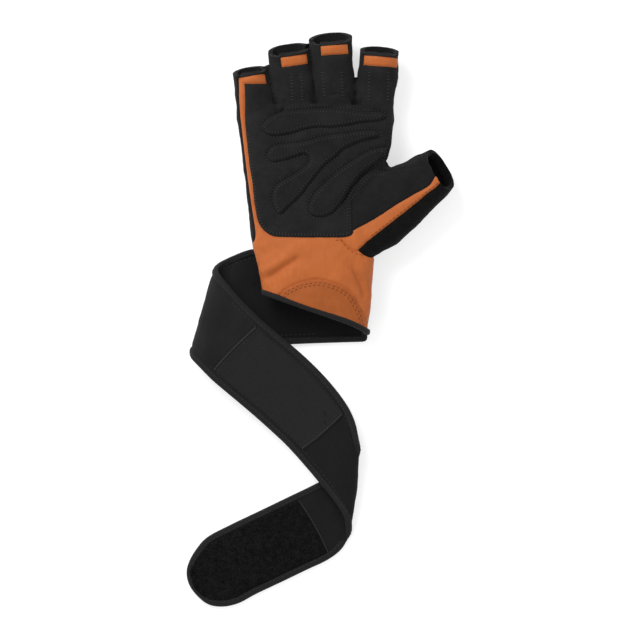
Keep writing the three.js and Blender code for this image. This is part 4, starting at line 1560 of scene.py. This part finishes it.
class GLOVE_OT_strap(bpy.types.Operator):
    """Lay the folded wrist strap"""

    bl_idname = "glove.strap"
    bl_label = "Wrist strap"

    def execute(self, context):
        first, last = 0.1, LAST_ROW - 0.1
        strap = strap_slab(
            "wrist_strap_cloth", (first, first), (last, last), CLOTH_INSET, strap_cover,
            lambda *at: -strap_cover(*at), (1.0, 0.95))
        dress(strap, finish_named("strap"), "wrist_strap")
        return {"FINISHED"}


def strap_rim():
    """The strap's edge all round: places, inward and outward ways."""
    stops, _ = strap_stops(0.02, LAST_ROW - 0.02, 0.5)
    a, b, _, face_a, face_b = strap_frame(stops)

    def end_line(k, count):
        share = np.linspace(0, 1, count + 2)[1:-1, None]
        return a[k] + (b[k] - a[k]) * share, unit(face_a[k] + (face_b[k] - face_a[k]) * share)

    tab, tab_face = end_line(-1, 30)
    bulge = np.linspace(0, 1, 32)[1:-1, None]
    tab = tab + unit(tab - (a[-60] + b[-60]) / 2) * (4 * TAB_BULGE) * bulge * (1 - bulge)
    root, root_face = end_line(0, 110)
    path = np.vstack([a, tab, b[::-1], root[::-1]])
    face = np.vstack([face_a, tab_face, face_b[::-1], root_face[::-1]])
    both = even(np.hstack([path, face * 10]), 0.5, closed=True)
    tip = (a[-1] + b[-1]) / 2
    near_tip = 1 - smoothstep(np.linalg.norm(both[:, :3] - tip, axis=1), 14, 26)[:, None]
    both = wrap_smooth(both, 4) * (1 - near_tip) + wrap_smooth(both, 7) * near_tip
    both = even(both, 1.1, closed=True)
    path, face = both[:, :3], unit(both[:, 3:])
    inward = unit(np.cross(face, way_round(path)))
    towards = inward * (np.roll(path, len(path) // 2, axis=0) - path)
    if towards.sum() < 0:
        inward = -inward
    return path, inward, face


class GLOVE_OT_strap_binding(bpy.types.Operator):
    """Bind the strap with tape all round"""

    bl_idname = "glove.strap_binding"
    bl_label = "Strap binding"

    def execute(self, context):
        path, inward, face = strap_rim()
        half = HEM_THICKNESS / 2
        upper = [(x, min(y, half)) for x, y in HALF_STRAP_TAPE]
        tape = upper + [(0.0, 0.0)] + [(x, -y) for x, y in upper[::-1]]
        binding = sweep("strap_binding_tape", path, inward, face, tape)
        dress(binding, finish_named("tape"), "strap_binding", 60)
        workshop["rim"] = (path, inward, face)
        return {"FINISHED"}


class GLOVE_OT_grip(bpy.types.Operator):
    """Sew the woven elastic panel onto the strap"""

    bl_idname = "glove.grip"
    bl_label = "Grip panel"

    def execute(self, context):
        def cover(run, mark, width, length):
            edge = np.minimum(np.minimum(run, length - run), 6)
            side = np.minimum(mark, width - mark) - GRIP_INSET
            ribs = 0.07 * np.cos(2 * math.pi * mark / 1.3) + 0.05 * np.cos(2 * math.pi * run / 1.2)
            fold = 0.75 * np.exp(-((edge - 1.0) / 0.8) ** 2)
            soft = 0.12 * cloth_ripple(run, mark, 16, 31)
            inner = smoothstep(edge, 1.5, 2.5) * smoothstep(side, 0.2, 1.5)
            return -(1.5 + 0.55 * smoothstep(side, -0.2, 1.0) + fold + (ribs + soft) * inner)

        grip = strap_slab(
            "grip_panel_weave", GRIP_START, GRIP_END, GRIP_INSET, cover,
            lambda run, *at: -1.2 + 0 * run, (0.5, 0.35))
        dress(grip, finish_named("elastic"), "grip_panel")
        return {"FINISHED"}


class GLOVE_OT_hooks(bpy.types.Operator):
    """Sew the hook patch onto the tab"""

    bl_idname = "glove.hooks"
    bl_label = "Hook patch"

    def execute(self, context):
        def cover(run, mark, width, length):
            side = np.minimum(mark, width - mark) - HOOK_INSET
            edge = np.minimum(np.minimum(run, length - run), side)
            pile = 0.16 * cloth_ripple(run, mark, 1.7, 41, 30) + 0.12 * cloth_ripple(run, mark, 3.6, 42, 30)
            return 1.5 + (1.0 + pile) * smoothstep(edge, -0.2, 1.4)

        patch = strap_slab(
            "hook_patch_pile", HOOK_START, HOOK_END, HOOK_INSET, cover,
            lambda run, *at: 1.2 + 0 * run, (0.6, 0.6))
        dress(patch, finish_named("hooks"), "hook_patch")
        return {"FINISHED"}


# Stitches.


# One stitch, at five places of its length: the place, its thickness there and its height.
STITCH_SHAPE = [
    (-0.5, 0.25, -0.75), (-0.34, 0.85, -0.1), (0.0, 1.0, 0.25), (0.34, 0.85, -0.1), (0.5, 0.25, -0.75),
]
THREAD_SIDES = 6
TURNED_PITCH = 2.1

# Rows of stitches on the palm and on the finger fronts, and the one under the thumb.
PALM_SEAMS = [
    [(18.3, 68.6), (18.2, 58.1), (17.8, 48.6)],
    [(20.0, 68.6), (20.0, 58.1), (19.8, 49.6)],
    [(16.2, 69.6), (21.1, 76.6), (27.4, 85.1), (34.3, 90.1), (42.9, 90.4)],
    [(18.8, 68.6), (23.3, 75.0), (29.3, 82.9), (35.3, 87.3), (43.0, 87.8)],
]
FINGER_SEAMS = [
    [(-18.8, 155.0), (-18.0, 136.0)], [(-12.2, 155.0), (-11.4, 136.0)],
    [(1.6, 156.0), (2.8, 139.0)], [(14.4, 156.0), (15.2, 139.0)],
    [(32.6, 156.0), (32.0, 136.0)], [(45.2, 156.0), (44.4, 136.0)],
]
GUSSET_ROW = [(9.5, 44.4), (13.9, 44.4), (17.9, 39.4), (24.0, 35.6), (28.6, 34.6)]


def line_at(at, run, values):
    """Values of a line at a length along it."""
    return np.array([np.interp(at, run, values[:, i]) for i in range(3)])


def stitch_mesh(name, rows, finish, gap=1.0):
    """One mesh of stitches along rows of places and outward ways.

    A row's third item is the length of stitches that are turned across it.
    """
    angle = 2 * math.pi * np.arange(THREAD_SIDES) / THREAD_SIDES
    tube = loft_faces(len(STITCH_SHAPE), THREAD_SIDES)
    tube.append(tuple(range(THREAD_SIDES))[::-1])
    tube.append(tuple(range(len(STITCH_SHAPE) * THREAD_SIDES))[-THREAD_SIDES:])
    points, faces = [], []
    for places, outs, *turned in rows:
        length = turned[0] if turned else sizes().stitch / MM
        radius = sizes().thread / MM * (0.7 if turned else 0.5)
        run = run_along(places)
        count = int(run[-1] // (TURNED_PITCH if turned else length + gap))
        for k in range(count):
            at = (k + 0.5) * run[-1] / count
            centre = line_at(at, run, places)
            out = unit(line_at(at, run, outs))
            ahead = unit(line_at(at + length / 2, run, places) - line_at(at - length / 2, run, places))
            side = unit(np.cross(ahead, out))
            if turned:
                ahead, side = side, ahead
            faces += [tuple(len(points) + corner for corner in face) for face in tube]
            for share, wide, lift in STITCH_SHAPE:
                middle = centre + ahead * share * length + out * (lift * radius)
                for a in angle:
                    points.append(middle + (side * math.cos(a) + out * math.sin(a)) * radius * wide)
    thing = add_mesh(name, np.array(points), faces)
    faces_outwards(thing)
    dress(thing, finish_named(finish), angle=80)


def surface_tree(names):
    """A search tree of finished pieces."""
    verts, faces = [], []
    for name in names:
        piece = workshop[name]
        first = len(verts)
        verts += [vert.co.copy() for vert in piece.data.vertices]
        faces += [[first + k for k in face.vertices] for face in piece.data.polygons]
    return BVHTree.FromPolygons(verts, faces)


def drop(tree, line, closed=False):
    """A line laid onto the pieces from above: its places and outward ways."""
    places, outs = [], []
    points = even(line, 0.8, closed)
    if closed:
        points = np.vstack([points, points[:1]])
    for x, y in points:
        start = (Vector((x, y, 80)) + Vector(TO_FRAME)) * MM
        hit, normal, _, _ = tree.ray_cast(start, Vector((0, 0, -1)))
        if hit is not None:
            places.append(np.array(hit) / MM - TO_FRAME)
            outs.append(np.array(normal))
    outs = np.array(outs)
    kernel = np.ones(5) / 5
    padded = np.vstack([outs[:1]] * 2 + [outs] + [outs[-1:]] * 2)
    outs = unit(np.stack([np.convolve(padded[:, i], kernel, "valid") for i in range(3)], axis=1))
    return np.array(places), outs


def beside(outline, distance, closed=True):
    """A line beside another one, on its left."""
    ahead = way_round(outline) if closed else unit(np.gradient(outline, axis=0))
    left = np.stack([-ahead[:, 1], ahead[:, 0]], axis=1)
    moved = outline + left * distance
    loop = np.vstack([outline, outline[:1]]) if closed else outline
    keep = distance_to(moved, loop) > abs(distance) * 0.93
    return moved[keep]


def left_is_inside(outline):
    """Whether a closed line has its inside on its left."""
    x, y = outline.T
    return (x * np.roll(y, -1) - np.roll(x, -1) * y).sum() > 0


class GLOVE_OT_stitches(bpy.types.Operator):
    """Sew the seams"""

    bl_idname = "glove.stitches"
    bl_label = "Stitches"

    def execute(self, context):
        self.palm()
        self.base()
        self.strap()
        return {"FINISHED"}

    def palm(self):
        tree = surface_tree(["palm_panel", "thumb_front", *PADS])
        rows = []
        for name in PADS:
            outline = outlines()[name]
            sign = 1 if left_is_inside(outline) else -1
            rows.append((*drop(tree, beside(outline, -1.2 * sign), True), 1.5))
            rows.append((*drop(tree, beside(outline, 1.7 * sign), True), 1.3))
        rows += [(*drop(tree, smooth_line(seam)), 1.3) for seam in PALM_SEAMS]
        rows += [(*drop(tree, np.array(seam)), 2.4) for seam in FINGER_SEAMS]
        edge = smooth_line(palm_place(SUEDE_EDGE[3:]))
        rows.append((*drop(tree, beside(edge, 1.7, False)), 2.0))
        stitch_mesh("palm_stitches", rows, "black_thread")

    def base(self):
        tree = surface_tree(["palm_base", "heel_patch", "thumb_strip"])
        arc = smooth_line(palm_place(HEEL_ARC))
        rows = [drop(tree, beside(arc, -1.3, False)), drop(tree, beside(arc, -2.9, False))]
        rows.append(drop(tree, smooth_line(GUSSET_ROW)))
        strip = smooth_line(thumb_place(STRIP_OUTER[:-1]))
        rows.append(drop(tree, beside(strip, -1.3, False)))
        stitch_mesh("base_stitches", rows, "orange_thread")

    def strap(self):
        rows = []
        path, inward, face = workshop["rim"]
        for sign in (1, -1):
            places = path + inward * 3.1 + face * (sign * 1.86)
            rows.append((places, face * sign))
        # Light beads across the strap at the patches' edges: a painted highlight along the folds there,
        # drawn as lighter thread.
        beads = [
            self.cross_row(GRIP_START, GRIP_INSET, 0.06, -2.75),
            self.cross_row(GRIP_END, GRIP_INSET, -0.08, -2.75),
            self.cross_row(HOOK_START, HOOK_INSET, -0.05, 2.0),
        ]
        stitch_mesh("strap_painted_highlight_beads", beads, "light_thread", 0.05)
        rows.append(self.cross_row(GRIP_START, GRIP_INSET, 0.2, -2.1))
        rows.append(self.cross_row(GRIP_END, GRIP_INSET, -0.24, -2.1))
        for start, end, offset in ((8.6, 18.0, -1.35), (1.0, 7.0, 1.35)):
            stops, _ = strap_stops(start, end, 1.0)
            for mark in (GRIP_INSET, -GRIP_INSET):
                rows.append(self.strap_row(stops, mark, offset))
        stitch_mesh("strap_stitches", rows, "black_thread")

    def strap_row(self, stops, mark, offset):
        """A row along the strap, marked from its first edge, or from its second one below nought."""
        a, b, _, face_a, face_b = strap_frame(stops)
        width = np.linalg.norm(b - a, axis=1)
        marks = np.full_like(width, mark) if mark > 0 else width + mark
        face = unit(face_a + (face_b - face_a) * (marks / width)[:, None])
        return strap_places(stops, marks, offset), face * np.sign(offset)

    def cross_row(self, ends, inset, beside_by, offset):
        """A row across the strap beside the edge of a patch, counted in rows of the strap."""
        share = np.linspace(0.01, 0.99, 60)
        stops = ends[0] + (ends[1] - ends[0]) * share + beside_by
        a, b, _, face_a, face_b = strap_frame(stops)
        face = unit(face_a + (face_b - face_a) * share[:, None])
        marks = inset + share * (np.linalg.norm(b - a, axis=1) - 2 * inset)
        places = strap_places(stops, marks, offset)
        return places, face * np.sign(offset)


# Lights: name, place, aim, width and power.
LIGHTS = [
    ("key", (-0.6, 0.8, 0.9), (0, 0, 0), 0.7, 13),
    ("fill", (0.9, -0.3, 1.0), (0, 0, 0), 1.2, 3.5),
    ("low", (-0.8, -0.7, 0.6), (0, -0.05, 0), 0.8, 2),
]
ROOM_LIGHT = 0.6
PAPER_GLOW = 0.6
CAMERA_PLACE = (0.00005, 0.00007, 8.0)
LENS = 681.8


def add_light(name, place, aim, width, power):
    """A square lamp that shines from its place to its aim."""
    bpy.ops.object.light_add(type="AREA", location=place)
    light = bpy.context.object
    light.name = name
    light.data.shape = "SQUARE"
    light.data.size = width
    light.data.energy = power
    light.rotation_euler = (Vector(aim) - Vector(place)).to_track_quat("-Z", "Y").to_euler()


class GLOVE_OT_stage(bpy.types.Operator):
    """Set up the floor, the lights and the camera"""

    bl_idname = "glove.stage"
    bl_label = "Stage"

    def execute(self, context):
        deselect()
        bpy.ops.mesh.primitive_plane_add(size=6, location=(0, 0, -0.0002))
        floor = context.object
        floor.name = "floor"
        paper = Finish("paper")
        paper.feed(paper.shader.inputs["Base Color"], (0.55, 0.55, 0.55))
        paper.feed(paper.shader.inputs["Emission Color"], (1, 1, 1))
        paper.feed(paper.shader.inputs["Emission Strength"], PAPER_GLOW)
        paper.feed(paper.shader.inputs["Roughness"], 0.9)
        floor.data.materials.append(paper.material)
        for light in LIGHTS:
            add_light(*light)
        world = context.scene.world or bpy.data.worlds.new("room")
        context.scene.world = world
        world.use_nodes = True
        sky = next(n for n in world.node_tree.nodes if n.type == "BACKGROUND")
        sky.inputs["Color"].default_value = (1, 1, 1, 1)
        sky.inputs["Strength"].default_value = ROOM_LIGHT
        context.scene.view_settings.view_transform = "Standard"
        bpy.ops.object.camera_add(location=CAMERA_PLACE, rotation=(0, 0, 0))
        camera = context.object
        camera.data.lens = LENS
        camera.data.sensor_width = 36
        camera.data.clip_end = 60
        context.scene.camera = camera
        return {"FINISHED"}


class GLOVE_PT_panel(bpy.types.Panel):
    """Lists the pieces of the glove"""

    bl_idname = "GLOVE_PT_panel"
    bl_label = "Weightlifting glove"
    bl_space_type = "VIEW_3D"
    bl_region_type = "UI"
    bl_category = "Glove"

    def draw(self, context):
        for step in STEPS:
            self.layout.operator(step.bl_idname)
        for group in (context.scene.glove_sizes, context.scene.glove_colours):
            for name in group.__annotations__:
                self.layout.prop(group, name)


STEPS = (
    GLOVE_OT_hand, GLOVE_OT_pads, GLOVE_OT_heel_patch, GLOVE_OT_cuff, GLOVE_OT_strap,
    GLOVE_OT_strap_binding, GLOVE_OT_grip, GLOVE_OT_hooks, GLOVE_OT_stitches, GLOVE_OT_stage,
)
CLASSES = (GloveSizes, GloveColours, *STEPS, GLOVE_PT_panel)


def register():
    for kind in CLASSES:
        bpy.utils.register_class(kind)
    bpy.types.Scene.glove_sizes = bpy.props.PointerProperty(type=GloveSizes)
    bpy.types.Scene.glove_colours = bpy.props.PointerProperty(type=GloveColours)


def unregister():
    del bpy.types.Scene.glove_colours
    del bpy.types.Scene.glove_sizes
    for kind in reversed(CLASSES):
        bpy.utils.unregister_class(kind)


def main():
    register()
    for step in STEPS:
        group, name = step.bl_idname.split(".")
        getattr(getattr(bpy.ops, group), name)()


if __name__ == "__main__":
    main()
